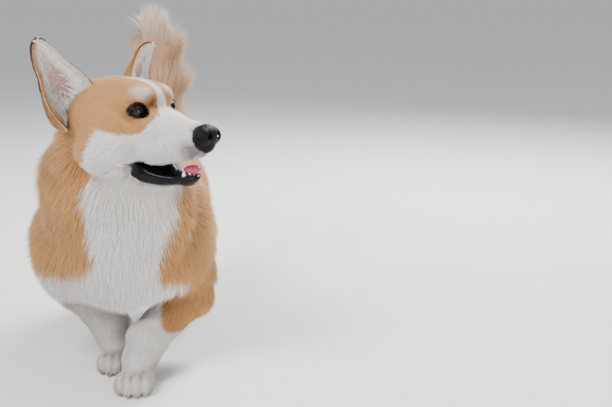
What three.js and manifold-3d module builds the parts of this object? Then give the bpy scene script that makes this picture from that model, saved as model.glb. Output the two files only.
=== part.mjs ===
// A life-size Pembroke Welsh Corgi, walking with its head turned to its left, as a still model.
// Millimetres, +Z up. The dog walks towards -Y, and +X is its left side.
// Each part of the body wraps a field of flesh masses, and thin planes divide one part from the next.
import * as THREE from "three";
import { mergeVertices } from "three/addons/utils/BufferGeometryUtils.js";
import Module from "manifold-3d";

const wasm = await Module();
wasm.setup();
const { Manifold, Mesh: SolidMesh } = wasm;

// Driving dimensions
const GAP = 0.35; // between parts that touch
const CLEAR = 1.2; // where a part is cut round the wrap of its neighbour
const COAT = { r: 0.78, g: 0.5, b: 0.27 };
const EYE_RADIUS = 10.4;
const EYE_APART = 26.5; // from the middle of the face to the centre of an eye
const EYE = { forward: -3, up: 0, outward: 24 };
const LIDS = { halfLength: 10.8, rise: 6.6, drop: 5.2, upper: 2.6, lower: 2.1 };
const EAR = { width: 31, thickness: 5, openOut: 14 };
const EAR_TIP = { left: { shift: 7, tipUp: 68 }, right: { shift: 0, tipUp: 80 } };
const HEAD_YAW = 55; // degrees to the dog's left
const HEAD_PITCH = 3; // degrees nose up
const HEAD_AT = [24, -198, 328]; // midway between the eyes
const SOLE = 0; // level of the floor
const FAR = 1500; // longer than anything here

// Small vector tools
const V = (x, y, z) => new THREE.Vector3(x, y, z);
const vec = (a) => V(a[0], a[1], a[2]);
const Z = V(0, 0, 1);
const rad = THREE.MathUtils.degToRad;
const clamp = THREE.MathUtils.clamp;
const lerp = THREE.MathUtils.lerp;
const turned = (x = 0, y = 0, z = 0) =>
  new THREE.Quaternion().setFromEuler(new THREE.Euler(rad(x), rad(y), rad(z), "ZYX"));

// The head's own frame: u forward along -Y before it turns, v to its left (+X), w up
const HEAD_FRAME = new THREE.Matrix4().compose(
  vec(HEAD_AT),
  new THREE.Quaternion()
    .setFromAxisAngle(Z, rad(HEAD_YAW))
    .multiply(new THREE.Quaternion().setFromAxisAngle(V(1, 0, 0), rad(-HEAD_PITCH))),
  V(1, 1, 1),
);
/** A point of the head, given as forward, left and up from midway between the eyes. */
const onHead = (u, v, w) => V(v, -u, w).applyMatrix4(HEAD_FRAME);

/** Distance to an ellipsoid of flesh, near enough to wrap it. */
function mass(at, half, turn = new THREE.Quaternion()) {
  const centre = vec(at);
  const back = turn.clone().invert();
  return (p) => {
    const q = p.clone().sub(centre).applyQuaternion(back);
    const near = Math.hypot(q.x / half[0], q.y / half[1], q.z / half[2]);
    const steep = Math.hypot(q.x / half[0] ** 2, q.y / half[1] ** 2, q.z / half[2] ** 2);
    return steep < 1e-6 ? -Math.min(...half) : (near * (near - 1)) / steep;
  };
}

/** Distance to a length of limb that tapers from one radius to another. */
function limb(from, to, startRadius, endRadius) {
  const a = vec(from);
  const along = vec(to).sub(a);
  return (p) => {
    const t = clamp(p.clone().sub(a).dot(along) / along.lengthSq(), 0, 1);
    return p.distanceTo(a.clone().addScaledVector(along, t)) - lerp(startRadius, endRadius, t);
  };
}

/** Joins fields with a soft fold of the given width. */
function blend(soft, ...fields) {
  return (p) => {
    let least = fields[0](p);
    for (const field of fields.slice(1)) {
      const next = field(p);
      const h = Math.max(soft - Math.abs(least - next), 0) / soft;
      least = Math.min(least, next) - (h * h * soft) / 4;
    }
    return least;
  };
}

/** A mass of the head, in the head's own forward, left and up. */
function headMass([u, v, w], [forward, across, up], tilt = 0) {
  const q = new THREE.Quaternion().setFromRotationMatrix(HEAD_FRAME);
  q.multiply(turned(-tilt));
  return mass(onHead(u, v, w).toArray(), [across, forward, up], q);
}
const headLimb = (a, b, ra, rb) => limb(onHead(...a).toArray(), onHead(...b).toArray(), ra, rb);
const bothSides = (make) => [make(1), make(-1)];

/** The spine leans to the dog's right towards the front, as it turns left. */
const spineX = (y) => -22 * THREE.MathUtils.smoothstep(-y, -90, 140);

// Flesh and coat of the trunk, out to the tips of the coat
const trunkMasses = [
  mass([spineX(-60), -50, 170], [86, 135, 84]),
  mass([spineX(-115), -112, 158], [92, 76, 78]),
  mass([spineX(60) - 5, 60, 176], [74, 120, 74]),
  mass([-5, 122, 178], [68, 76, 76]),
  mass([spineX(-150) + 4, -150, 166], [72, 44, 68]),
  ...bothSides((s) => mass([spineX(-105) + s * 68 - 5, -98, 152], [42, 58, 68], turned(-14))),
  ...bothSides((s) => mass([s * 41 - 5, 116, 148], [34, 62, 72], turned(10))),
];
const neckMasses = [
  limb([-22, -105, 205], [-28, -140, 286], 90, 54),
  mass([-52, -134, 234], [65, 54, 66]),
  mass([-6, -164, 222], [72, 40, 62]),
  mass([2, -176, 254], [54, 34, 36]),
];

// Flesh of the head, in its own frame
const headMasses = [
  headMass([-50, 0, 4], [50, 48, 32]),
  headMass([-52, 0, -12], [46, 58, 36]),
  headMass([-16, 0, 8], [30, 33, 23]),
  ...bothSides((s) => headMass([-4, s * 17, 13], [16, 13, 10])),
  ...bothSides((s) => headMass([-14, s * 22, -1], [17, 15.5, 15])),
  ...bothSides((s) => headMass([-34, s * 36, -34], [40, 29, 34])),
  ...bothSides((s) => headMass([2, s * 19, -20], [28, 15, 18])),
  headLimb([2, 0, -18], [62, 0, -30], 23, 13.5),
  ...bothSides((s) => headLimb([4, s * 14, -42], [51, s * 9.5, -42], 21, 14.5)),
  headMass([57, 0, -37], [18, 19, 18]),
  headMass([-40, 0, -58], [46, 38, 28]),
];
/** The lower jaw, from the cheek to the chin. */
const jawMasses = [
  ...bothSides((s) => headLimb([-24, s * 15, -66], [42, s * 6, -71], 16.5, 9.5)),
  headMass([46, 0, -71], [14, 13, 9.5]),
  headMass([0, 0, -74], [40, 20, 10]),
];

// Legs: the joints from the elbow or the stifle down, the radii there, and the paw
const LEGS = {
  foreleg_left: {
    joints: [[50, -88, 112], [52, -96, 88], [6, -158, 47], [-2, -176, 27]],
    radii: [36, 30, 22, 19],
    paw: { at: [-5, -195], heading: -6 },
  },
  foreleg_right: {
    joints: [[-80, -60, 118], [-82, -66, 88], [-44, -102, 45], [-37, -108, 27]],
    radii: [34, 30, 22, 19],
    paw: { at: [-35, -125], heading: -4 },
  },
  hindleg_left: {
    joints: [[44, 88, 126], [47, 92, 104], [47, 146, 66], [44, 124, 27]],
    radii: [38, 33, 17, 16.5],
    paw: { at: [43, 106], heading: 5 },
  },
  hindleg_right: {
    joints: [[-58, 112, 126], [-60, 118, 104], [-55, 186, 68], [-50, 168, 27]],
    radii: [42, 36, 17, 16.5],
    paw: { at: [-49, 150], heading: -5 },
  },
};
const CLAW = { length: 9, radius: 2.8 };
const TOES = [-1.5, -0.5, 0.5, 1.5];

// The long coat: how many locks, and their sizes
const RUFF = { rows: 5, around: 12, depth: 11, length: 54, width: 44, thick: 9 };
const BRUSH = { rows: 4, around: 5, core: 0.45, length: 74, width: 46, thick: 13 };
const BREECH = { rows: 3, columns: 2, length: 52, width: 34, thick: 9, lift: 7 };
const FEATHER = { rows: 4, length: 38, width: 26, thick: 8, lift: 6 };

/** A toe's middle in the paw's own frame: across, forward and up. */
function toeAt(place) {
  const outer = Math.abs(place) > 1;
  return [place * 9.6, outer ? 15 : 21, 10.5];
}

/** Turns a paw's own across, forward and up into a place in the model. */
const onPaw = ({ at, heading }, [across, forward, up]) =>
  V(across, -forward, up).applyAxisAngle(Z, rad(heading)).add(V(at[0], at[1], SOLE));

function pawField(leg) {
  const place = (p) => onPaw(leg.paw, p).toArray();
  const turn = turned(0, 0, leg.paw.heading);
  const toes = TOES.map((t) => mass(place(toeAt(t)), [8.2, 14.5, 12.5], turn));
  const pad = mass(place([0, -2, 11]), [19.5, 23, 14], turn);
  const instep = limb(leg.joints[3], place([0, 2, 14]), leg.radii[3] - 1, 13);
  return blend(9, blend(3, ...toes), pad, instep);
}

function legField(leg) {
  const lengths = leg.joints.slice(1).map((end, i) =>
    limb(leg.joints[i], end, leg.radii[i], leg.radii[i + 1]),
  );
  return blend(12, ...lengths, pawField(leg));
}

const trunkField = blend(26, ...trunkMasses, ...neckMasses);
const headField = blend(11, ...headMasses);
const jawField = blend(9, ...jawMasses);

/** Reads a closed surface into a solid for cutting and joining. */
function solid(vertices, triangles) {
  const made = new Manifold(
    new SolidMesh({
      numProp: 3,
      vertProperties: new Float32Array(vertices.flatMap((p) => [p.x, p.y, p.z])),
      triVerts: new Uint32Array(triangles.flat()),
    }),
  );
  return made.volume() < 0
    ? solid(vertices, triangles.map(([a, b, c]) => [a, c, b]))
    : made;
}

/** Reads a three.js geometry, which has to be closed, into a solid. */
function solidOf(geometry, matrix = new THREE.Matrix4()) {
  const bare = geometry.clone().applyMatrix4(matrix);
  bare.deleteAttribute("normal");
  bare.deleteAttribute("uv");
  const merged = mergeVertices(bare, 1e-4);
  const position = merged.attributes.position;
  const points = Array.from({ length: position.count }, (_, i) =>
    V(0, 0, 0).fromBufferAttribute(position, i),
  );
  const index = Array.from(merged.index.array);
  const triangles = Array.from({ length: index.length / 3 }, (_, i) =>
    index.slice(3 * i, 3 * i + 3),
  );
  return solid(points, triangles);
}

/** Closes a stack of rings of equal length into a solid, with a point or a flat fan at each end. */
function stack(rings, first, last) {
  const sides = rings[0].length;
  const points = [...rings.flat(), first, last];
  const [start, end] = [points.length - 2, points.length - 1];
  const top = (rings.length - 1) * sides;
  const triangles = [];
  for (let j = 0; j < sides; j++) {
    const k = (j + 1) % sides;
    triangles.push([start, k, j], [end, top + j, top + k]);
    for (let i = 0; i < top; i += sides) {
      triangles.push([i + j, i + k, i + sides + k], [i + j, i + sides + k, i + sides + j]);
    }
  }
  return solid(points, triangles);
}

/** How far it is from a point inside a field to its surface. */
function reachTo(field, from, direction, most, level) {
  let far = 0;
  const p = from.clone();
  for (let step = 0; step < 60 && far < most; step++) {
    const inside = level - field(p.copy(from).addScaledVector(direction, far));
    if (inside < 0.02) break;
    far += Math.max(inside * 0.7, 0.05);
  }
  return Math.min(far, most);
}

/** Wraps a field with rings set square to a line that runs inside it, and that may stand upright. */
function wrap({ line, stations, sides, field, most = 160, level = 0, upright = false }) {
  const path = new THREE.CatmullRomCurve3(line.map((p) => (p.isVector3 ? p : vec(p))));
  const pole = (t, sign) => {
    const way = path.getTangentAt(t).multiplyScalar(sign);
    const at = path.getPointAt(t);
    return at.addScaledVector(way, reachTo(field, at, way, most, level));
  };
  const [first, last] = [pole(0, -1), pole(1, 1)];
  const length = path.getLength();
  const [before, after] = [first.distanceTo(path.getPointAt(0)), last.distanceTo(path.getPointAt(1))];
  const rings = [];
  for (let i = 1; i < stations; i++) {
    const share = (1 - Math.cos((Math.PI * i) / stations)) / 2;
    const even = lerp(i / stations, share, 0.65);
    const s = even * (before + length + after) - before;
    const t = clamp(s / length, 0, 1);
    const way = path.getTangentAt(t);
    const at = path.getPointAt(t).addScaledVector(way, s - t * length);
    const across = (upright ? V(0, 1, 0) : Z.clone()).cross(way).normalize();
    const over = way.clone().cross(across);
    rings.push(
      Array.from({ length: sides }, (_, j) => {
        const angle = (2 * Math.PI * j) / sides;
        const ray = across.clone().multiplyScalar(Math.cos(angle));
        ray.addScaledVector(over, Math.sin(angle)).normalize();
        return at.clone().addScaledVector(ray, reachTo(field, at, ray, most, level));
      }),
    );
  }
  return stack(rings, first, last);
}

/** Everything on the side of a plane that its normal points to, started back from it by a gap. */
function halfSpace(point, normal, gap = GAP / 2) {
  const way = vec(normal).normalize();
  const turn = new THREE.Quaternion().setFromUnitVectors(Z, way);
  const middle = vec(point).addScaledVector(way, FAR / 2 + gap);
  return solidOf(
    new THREE.BoxGeometry(FAR, FAR, FAR),
    new THREE.Matrix4().compose(middle, turn, V(1, 1, 1)),
  );
}
/** The largest closed surface of a solid, which leaves out what a cut or a join has sealed or dropped. */
function largest(made) {
  return made.decompose().sort((a, b) => b.volume() - a.volume())[0];
}

// The planes that divide the body
const opposite = (a) => a.map((x) => -x);
const NECK_BASE = { at: [-16, -108, 205], way: [0.03, -0.87, 0.5] };
const above = (plane, gap) => halfSpace(plane.at, plane.way, gap);
const below = (plane, gap) => halfSpace(plane.at, opposite(plane.way), gap);

/** The box-shaped room of a shoulder or a thigh, opened by a gap when it cuts its neighbour. */
function room({ middle, size, tilt }, side, gap) {
  const grown = size.map((s) => s + gap);
  const matrix = new THREE.Matrix4().compose(
    V(side * middle[0] + (middle[1] < 0 ? spineX(middle[1]) : 0), middle[1], middle[2]),
    turned(tilt[0], side * tilt[1], side * tilt[2]),
    V(1, 1, 1),
  );
  return solidOf(new THREE.BoxGeometry(...grown), matrix);
}
const SHOULDER = { middle: [116, -98, 98], size: [120, 118, 190], tilt: [-12, 8, 0] };
const THIGH = { middle: [104, 122, 94], size: [120, 124, 210], tilt: [8, 6, 0] };

const group = new THREE.Group();
function add(name, made, [r, g, b], roughness = 0.85) {
  const mesh = largest(made).getMesh();
  const geometry = new THREE.BufferGeometry();
  geometry.setAttribute("position", new THREE.BufferAttribute(mesh.vertProperties, 3));
  geometry.setIndex(new THREE.BufferAttribute(mesh.triVerts, 1));
  const material = new THREE.MeshStandardMaterial({ color: new THREE.Color(r, g, b), roughness });
  const node = new THREE.Mesh(geometry, material);
  node.name = name;
  group.add(node);
  return node;
}
const TAN = [COAT.r, COAT.g, COAT.b];
const WHITE = [0.86, 0.83, 0.78];
const BLACK = [0.03, 0.03, 0.035];
const PINK = [0.72, 0.32, 0.34];

/** Where a ray from a place meets a field's surface, and which way the surface faces there. */
function surfaceAt(field, from, direction, most) {
  const at = from.clone().addScaledVector(direction, reachTo(field, from, direction, most, 0));
  const slope = V(0, 0, 0);
  for (const axis of ["x", "y", "z"]) {
    const [plus, minus] = [at.clone(), at.clone()];
    plus[axis] += 1;
    minus[axis] -= 1;
    slope[axis] = field(plus) - field(minus);
  }
  return { at, normal: slope.normalize() };
}

/** A flat, tapered lock that leaves its root along the lie of the coat and bends to its tip. */
function lock({ at, normal }, lie, { length, width, thick, lift, sway }) {
  const along = lie.clone().addScaledVector(normal, -lie.dot(normal)).normalize();
  const across = along.clone().cross(normal).normalize();
  const rise = (t) => lift * Math.sin((Math.PI / 2) * Math.min(t * 1.15, 1)) - thick * 0.6 * (1 - t) ** 3;
  const path = (t) =>
    at
      .clone()
      .addScaledVector(along, length * (t * 1.12 - 0.12))
      .addScaledVector(normal, rise(t))
      .addScaledVector(across, sway * t * t);
  const stations = [[0, 0.7], [0.4, 1], [0.75, 0.68]];
  const rings = stations.map(([t, wide]) => {
    const middle = path(t);
    return [[1, 0], [0, 1], [-1, 0], [0, -1]].map(([a, b]) =>
      middle
        .clone()
        .addScaledVector(across, (a * width * wide) / 2)
        .addScaledVector(normal, (b * thick * wide) / 2),
    );
  });
  return stack(rings, path(-0.04), path(1));
}
/** Small, repeatable differences from one lock to the next. */
const vary = (k) => Math.sin(k * 12.9898 + 4.1) * 0.5 + Math.sin(k * 4.123 + 1.7) * 0.5;
/** Joins locks to the core that they grow from, cut clear of what they lie over. */
const dress = (core, locks, ...around) =>
  around.reduce((made, hull) => made.subtract(hull), Manifold.union(locks)).add(core);
/** The nth lock of a kind, a little longer or shorter and swayed to one side. */
const lockLike = (kind, spot, lie, n, lift = kind.lift) =>
  lock(spot, lie, { ...kind, lift, length: kind.length * (1 + 0.13 * vary(n)), sway: 6 * vary(n + 30) });

// Torso
const spineLine = [-150, -60, 40, 130].map((y) => [spineX(y), y, 172]);
const torsoWrap = (level) =>
  wrap({ line: spineLine, stations: 22, sides: 26, field: trunkField, most: 130, level });
const torsoSide = below(NECK_BASE);
let torso = torsoWrap(0).intersect(torsoSide);
for (const side of [1, -1]) {
  torso = torso.subtract(room(SHOULDER, side, GAP)).subtract(room(THIGH, side, GAP));
}
add("torso", torso, TAN);

/** A leg's flesh from the elbow or the stifle down to the wrist or the hock. */
const legWrap = (leg, level = 0) =>
  wrap({ line: leg.joints.slice(1, 3), stations: 8, sides: 12, field: legField(leg), most: 52, level });

// Shoulders and thighs
const SIDES = [["left", 1], ["right", -1]];
const shoulderWrap = (side, level) => {
  const x = spineX(-100) + side * 58;
  const line = [[x, -98, 190], [x, -92, 110]];
  return wrap({ line, stations: 9, sides: 18, field: trunkField, most: 90, level, upright: true });
};
const thighWrap = (side, level) => {
  const line = [[side * 42, 122, 190], [side * 42, 112, 110]];
  return wrap({ line, stations: 9, sides: 18, field: trunkField, most: 90, level, upright: true });
};
/** A thigh with its breeches: locks that hang down its back, clear of the torso and the leg. */
function breeches(name, side) {
  const own = room(THIGH, side, -GAP);
  const locks = [];
  for (let row = 0; row < BREECH.rows; row++) {
    for (let column = 0; column < BREECH.columns; column++) {
      const from = V(side * (48 + 12 * column), 128 - 12 * column, lerp(186, 122, row / (BREECH.rows - 1)));
      const spot = surfaceAt(trunkField, from, V(side * (0.15 + 0.5 * column), 1, 0).normalize(), 90);
      locks.push(lockLike(BREECH, spot, V(side * 0.12, 0.3, -1), 7 * side + locks.length));
    }
  }
  const thigh = thighWrap(side, 0).intersect(own);
  return dress(thigh, locks, torsoWrap(CLEAR).subtract(own), legWrap(LEGS[`hindleg_${name}`], CLEAR));
}
const bodyCore = torsoWrap(GAP);
let trunkCore = bodyCore;
for (const [name, side] of SIDES) {
  const shoulder = shoulderWrap(side, 0).intersect(room(SHOULDER, side, -GAP)).intersect(torsoSide);
  add(`shoulder_${name}`, shoulder, TAN);
  add(`thigh_${name}`, breeches(name, side), TAN);
  trunkCore = trunkCore.add(shoulderWrap(side, GAP)).add(thighWrap(side, GAP));
}

// Head
const headLine = [onHead(-60, 0, -16), onHead(-20, 0, -20), onHead(28, 0, -30), onHead(53, 0, -34)];
const headWrap = (level) =>
  wrap({ line: headLine, stations: 25, sides: 26, field: headField, most: 88, level });
const headCore = headWrap(CLEAR);

/** The upper lip from the corner of the mouth to the nose, then down round the jaw, seen from the side. */
function mouthRoom(widen) {
  const side = new THREE.Shape();
  side.moveTo(-12 - widen, -57 + widen);
  side.bezierCurveTo(10, -62 + widen, 28, -66 + widen, 44, -58 + widen);
  side.bezierCurveTo(54, -53 + widen, 62, -48 + widen, 100, -44 + widen);
  side.lineTo(100, -130);
  side.lineTo(-12 - widen, -130);
  side.closePath();
  const geometry = new THREE.ExtrudeGeometry(side, { depth: 160, bevelEnabled: false, curveSegments: 6 });
  // The shape's x is forward and its y is up, so the extrusion runs across the head
  const across = new THREE.Matrix4().makeBasis(V(0, -1, 0), V(0, 0, 1), V(-1, 0, 0)).setPosition(80, 0, 0);
  return solidOf(geometry, new THREE.Matrix4().multiplyMatrices(HEAD_FRAME, across));
}

/** An ellipsoid in the head's frame as a solid. */
function headBall([u, v, w], [forward, across, up], rows = 10) {
  const ball = new THREE.SphereGeometry(1, rows * 2, rows);
  const local = new THREE.Matrix4().compose(V(v, -u, w), new THREE.Quaternion(), V(across, forward, up));
  return solidOf(ball, new THREE.Matrix4().multiplyMatrices(HEAD_FRAME, local));
}

/** The place on an eye's own frame: outwards across the face, up, and along its gaze. */
function onEye(side, [out, up, ahead]) {
  const gaze = rad(EYE.outward);
  const u = EYE.forward + Math.cos(gaze) * ahead - Math.sin(gaze) * out;
  const v = side * (EYE_APART + Math.sin(gaze) * ahead + Math.cos(gaze) * out);
  return onHead(u, v, EYE.up + up + ahead * 0.05);
}

/** The lids: one ring of six-sided section round the almond of the open eye. */
function lids(side) {
  const steps = 14;
  const sides = 5;
  const points = [];
  for (let i = 0; i < steps; i++) {
    const angle = (2 * Math.PI * i) / steps;
    const upper = Math.sin(angle) > 0;
    const out = LIDS.halfLength * Math.cos(angle);
    const up = (upper ? LIDS.rise : LIDS.drop) * Math.sin(angle) + 0.1 * out;
    const thick = upper ? LIDS.upper : LIDS.lower;
    const ahead = Math.sqrt(Math.max((EYE_RADIUS + 1) ** 2 - out ** 2 - up ** 2, 16));
    const away = V(out, up, 0).normalize();
    for (let j = 0; j < sides; j++) {
      const turn = (2 * Math.PI * j) / sides;
      const spread = Math.cos(turn) * thick;
      points.push(onEye(side, [out + away.x * spread, up + away.y * spread, ahead + Math.sin(turn) * thick]));
    }
  }
  const triangles = [];
  for (let i = 0; i < steps; i++) {
    for (let j = 0; j < sides; j++) {
      const [a, b] = [i * sides + j, i * sides + ((j + 1) % sides)];
      const [c, d] = [a, b].map((k) => (k + sides) % points.length);
      triangles.push([a, b, d], [a, d, c]);
    }
  }
  return solid(points, triangles);
}

const teethRow = [-11, -7, -2.4, 2.4, 7, 11];
let head = headWrap(0).subtract(mouthRoom(0));
for (const [name, side] of SIDES) {
  const at = [EYE.forward, side * EYE_APART, EYE.up];
  head = head.add(lids(side)).subtract(headBall(at, [1, 1, 1].map((x) => x * (EYE_RADIUS + GAP)), 8));
  add(`eye_${name}`, headBall(at, [1, 1, 1].map((x) => x * EYE_RADIUS), 8), BLACK, 0.1);
}
// The hollow of the palate
head = head.subtract(headBall([30, 0, -58], [38, 13, 9], 5));
add("head", head, TAN);

// Lower jaw, with its teeth and the tongue that lies between them
let jaw = wrap({
  line: [onHead(-16, 0, -70), onHead(18, 0, -73), onHead(44, 0, -72)],
  stations: 12,
  sides: 16,
  field: jawField,
  most: 60,
});
jaw = jaw.subtract(headBall([18, 0, -60], [40, 13, 8], 5));
const tongueField = blend(4, headMass([18, 0, -60], [36, 9.5, 5.5]), headMass([42, 0, -58], [14, 9.5, 4]));
const tongueWrap = (level) =>
  wrap({
    line: [onHead(0, 0, -60), onHead(44, 0, -58)],
    stations: 9,
    sides: 12,
    field: tongueField,
    most: 40,
    level,
  });
/** A lower tooth that stands in the jaw: the outermost pair are the canines. */
function tooth(across) {
  const canine = Math.abs(across) > 10;
  const height = canine ? 9.5 : 5;
  const cone = new THREE.ConeGeometry(canine ? 2.6 : 2, height + 6, 5);
  const forward = 52 - across ** 2 * 0.09;
  const matrix = new THREE.Matrix4().makeRotationX(Math.PI / 2);
  const place = new THREE.Matrix4().makeTranslation(across, -forward, -64 + height / 2 - 3);
  return solidOf(cone, HEAD_FRAME.clone().multiply(place).multiply(matrix));
}
jaw = teethRow.reduce((made, across) => made.add(tooth(across)), jaw).intersect(mouthRoom(-GAP));
add("lower_jaw", jaw.subtract(tongueWrap(CLEAR)), WHITE);
add("tongue", tongueWrap(-CLEAR).intersect(mouthRoom(-GAP)), PINK);

// Neck and chest: a core half-way into the long coat, level with the trunk where they meet
const baseWay = vec(NECK_BASE.way).normalize();
const baseAt = vec(NECK_BASE.at);
const ruffField = (p) => {
  const ahead = p.clone().sub(baseAt).dot(baseWay);
  return trunkField(p) + RUFF.depth * THREE.MathUtils.smoothstep(ahead, 0, RUFF.depth * 3);
};
const neckLine = [[-18, -158, 104], [-20, -146, 180], [-20, -130, 240], [-18, -146, 300]];
const neckWrap = (level, field = ruffField) =>
  wrap({ line: neckLine, stations: 15, sides: 24, field, most: 130, level, upright: true });
const jawHull = wrap({
  line: [onHead(-30, 0, -68), onHead(18, 0, -72), onHead(44, 0, -71)],
  stations: 9,
  sides: 12,
  field: jawField,
  most: 60,
  level: CLEAR,
});

const ruff = [];
const headMiddle = onHead(-30, 0, 0);
const neckPath = new THREE.CatmullRomCurve3(neckLine.map(vec));
for (let row = 0; row < RUFF.rows; row++) {
  const t = lerp(0.97, 0.14, row / (RUFF.rows - 1));
  const from = neckPath.getPoint(t);
  for (let k = 0; k < RUFF.around; k++) {
    const angle = (2 * Math.PI * (k + (row % 2) / 2)) / RUFF.around;
    const direction = V(Math.sin(angle), -Math.cos(angle), 0);
    const spot = surfaceAt(ruffField, from, direction, 130);
    const ahead = spot.at.clone().sub(baseAt).dot(baseWay);
    if (ahead < 16 || headField(spot.at) < 14 || jawField(spot.at) < 10) continue;
    const lie = spot.at.clone().sub(headMiddle).normalize().add(V(0, 0, -0.7));
    const lift = Math.min(RUFF.depth * 0.85, 3 + ahead * 0.2);
    ruff.push(lockLike(RUFF, spot, lie, ruff.length, lift));
  }
}
const neckCore = neckWrap(0).intersect(above(NECK_BASE));
const neck = dress(neckCore, ruff, below(NECK_BASE, -GAP / 2).intersect(trunkCore));
add("neck", neck.subtract(headCore).subtract(jawHull), TAN);

// Ears: cupped shells that open forwards and a little outwards
function ear(side, { shift, tipUp }) {
  const spine = new THREE.QuadraticBezierCurve3(
    V(-66 + shift, 44, -10),
    V(-80 + shift, 60, 38),
    V(-77 + shift, 90, tipUp),
  );
  const rings = [];
  const rows = 10;
  const half = 7;
  for (let i = 0; i <= rows; i++) {
    const t = (i / rows) * 0.985;
    const at = spine.getPoint(t);
    const way = spine.getTangent(t);
    const open = V(Math.cos(rad(EAR.openOut)), Math.sin(rad(EAR.openOut)), 0);
    const across = way.clone().cross(open).normalize().negate();
    const front = across.clone().cross(way).normalize();
    if (front.dot(open) < 0) front.negate();
    const belly = 0.8 + 0.2 * Math.sin(Math.PI * Math.min(t * 1.6, 1));
    const spread = EAR.width * Math.sqrt(Math.max(1 - t ** 2.1, 0)) * belly;
    const curl = rad(lerp(118, 40, Math.min(t * 1.25, 1)));
    const radius = spread / Math.sin(Math.min(curl, Math.PI / 2));
    const ring = [];
    const put = (angle, offset) => {
      const r = radius + offset;
      const p = at.clone();
      p.addScaledVector(across, Math.sin(angle) * r);
      p.addScaledVector(front, Math.cos(curl) * radius * 0.5 - Math.cos(angle) * r + radius * 0.35);
      ring.push(onHead(p.x, side * p.y, p.z));
    };
    for (let j = 0; j <= half; j++) {
      const angle = lerp(-curl, curl, j / half);
      put(angle, -0.5 * EAR.thickness * (1 - 0.6 * Math.abs((2 * j) / half - 1) ** 4));
    }
    for (let j = half; j >= 0; j--) {
      const angle = lerp(-curl, curl, j / half);
      put(angle, 0.5 * EAR.thickness * (1 - 0.6 * Math.abs((2 * j) / half - 1) ** 4));
    }
    rings.push(ring);
  }
  const middle = (ring) => ring.reduce((sum, p) => sum.add(p), V(0, 0, 0)).divideScalar(ring.length);
  return stack(rings, middle(rings[0]), middle(rings[rows]));
}
const neckHull = neckWrap(CLEAR, trunkField);
for (const [name, side] of SIDES) {
  add(`ear_${name}`, ear(side, EAR_TIP[name]).subtract(headCore).subtract(neckHull), TAN);
}

// Nose leather
const nosePad = blend(4, headMass([71, 0, -28], [11, 15, 11.5]), headMass([70, 0, -38], [9, 9, 8]));
let nose = wrap({
  line: [onHead(64, 0, -30), onHead(74, 0, -30)],
  stations: 8,
  sides: 14,
  field: nosePad,
  most: 30,
});
for (const side of [1, -1]) {
  nose = nose.subtract(headBall([80, side * 8, -28], [6, 3.2, 3.4], 4));
}
add("nose", nose.subtract(headCore), BLACK, 0.4);

// Tail: a core half-way into the brush, with rows of locks that sweep up and out
const tailEnds = [[-3, 176, 214], [-2, 198, 254], [0, 206, 304], [0, 196, 352], [-1, 190, 378]];
const brush = [27, 32, 46, 38, 24].map((radius) => radius * BRUSH.core);
const tailField = blend(6, ...brush.slice(1).map((r, i) => limb(tailEnds[i], tailEnds[i + 1], brush[i], r)));
const tailCore = wrap({ line: tailEnds, stations: 11, sides: 10, field: tailField, most: 40, upright: true });
const tailPath = new THREE.CatmullRomCurve3(tailEnds.map(vec));
const brushLocks = [];
for (let row = 0; row < BRUSH.rows; row++) {
  const t = lerp(0.07, 0.9, row / (BRUSH.rows - 1));
  const way = tailPath.getTangentAt(t);
  for (let k = 0; k < BRUSH.around; k++) {
    const angle = (2 * Math.PI * (k + (row % 2) / 2)) / BRUSH.around;
    const out = V(Math.sin(angle), Math.cos(angle), 0);
    out.addScaledVector(way, -out.dot(way)).normalize();
    const spot = { at: tailPath.getPointAt(t).addScaledVector(out, BRUSH.thick), normal: out };
    const lift = lerp(14, 32, Math.sin(Math.PI * t)) + 2 * vary(brushLocks.length + 9);
    brushLocks.push(lockLike(BRUSH, spot, way, brushLocks.length, lift));
  }
}
const tailRoot = bodyCore.add(trunkCore);
add("tail", dress(tailCore, brushLocks).subtract(tailRoot), TAN);

/** A blunt claw that leaves the toe forwards and down. */
function claw(leg, toe) {
  const [across, forward] = toeAt(toe);
  const cone = new THREE.CylinderGeometry(0.8, CLAW.radius, CLAW.length * 2, 5);
  const made = new THREE.Matrix4().makeTranslation(across * 1.04, -(forward + 13), 7);
  made.multiply(new THREE.Matrix4().makeRotationX(rad(90 + 20)));
  const foot = new THREE.Matrix4().makeRotationZ(rad(leg.paw.heading));
  foot.setPosition(leg.paw.at[0], leg.paw.at[1], SOLE);
  return solidOf(cone, foot.multiply(made));
}

/** The feathering down the back of a forearm. */
function feathering(leg, flesh) {
  const [, elbow, wrist] = leg.joints.map(vec);
  const down = wrist.clone().sub(elbow).normalize();
  const back = V(0.1 * Math.sign(elbow.x), 0.6, -0.35);
  back.addScaledVector(down, -back.dot(down)).normalize();
  const locks = Array.from({ length: FEATHER.rows }, (_, row) => {
    const from = elbow.clone().lerp(wrist, lerp(0, 0.62, row / (FEATHER.rows - 1)));
    const spot = surfaceAt(legField(leg), from, back, 52);
    return lockLike(FEATHER, spot, down.clone().add(V(0, 0.35, -0.35)), row + 60);
  });
  return dress(flesh, locks, trunkCore);
}

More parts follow.
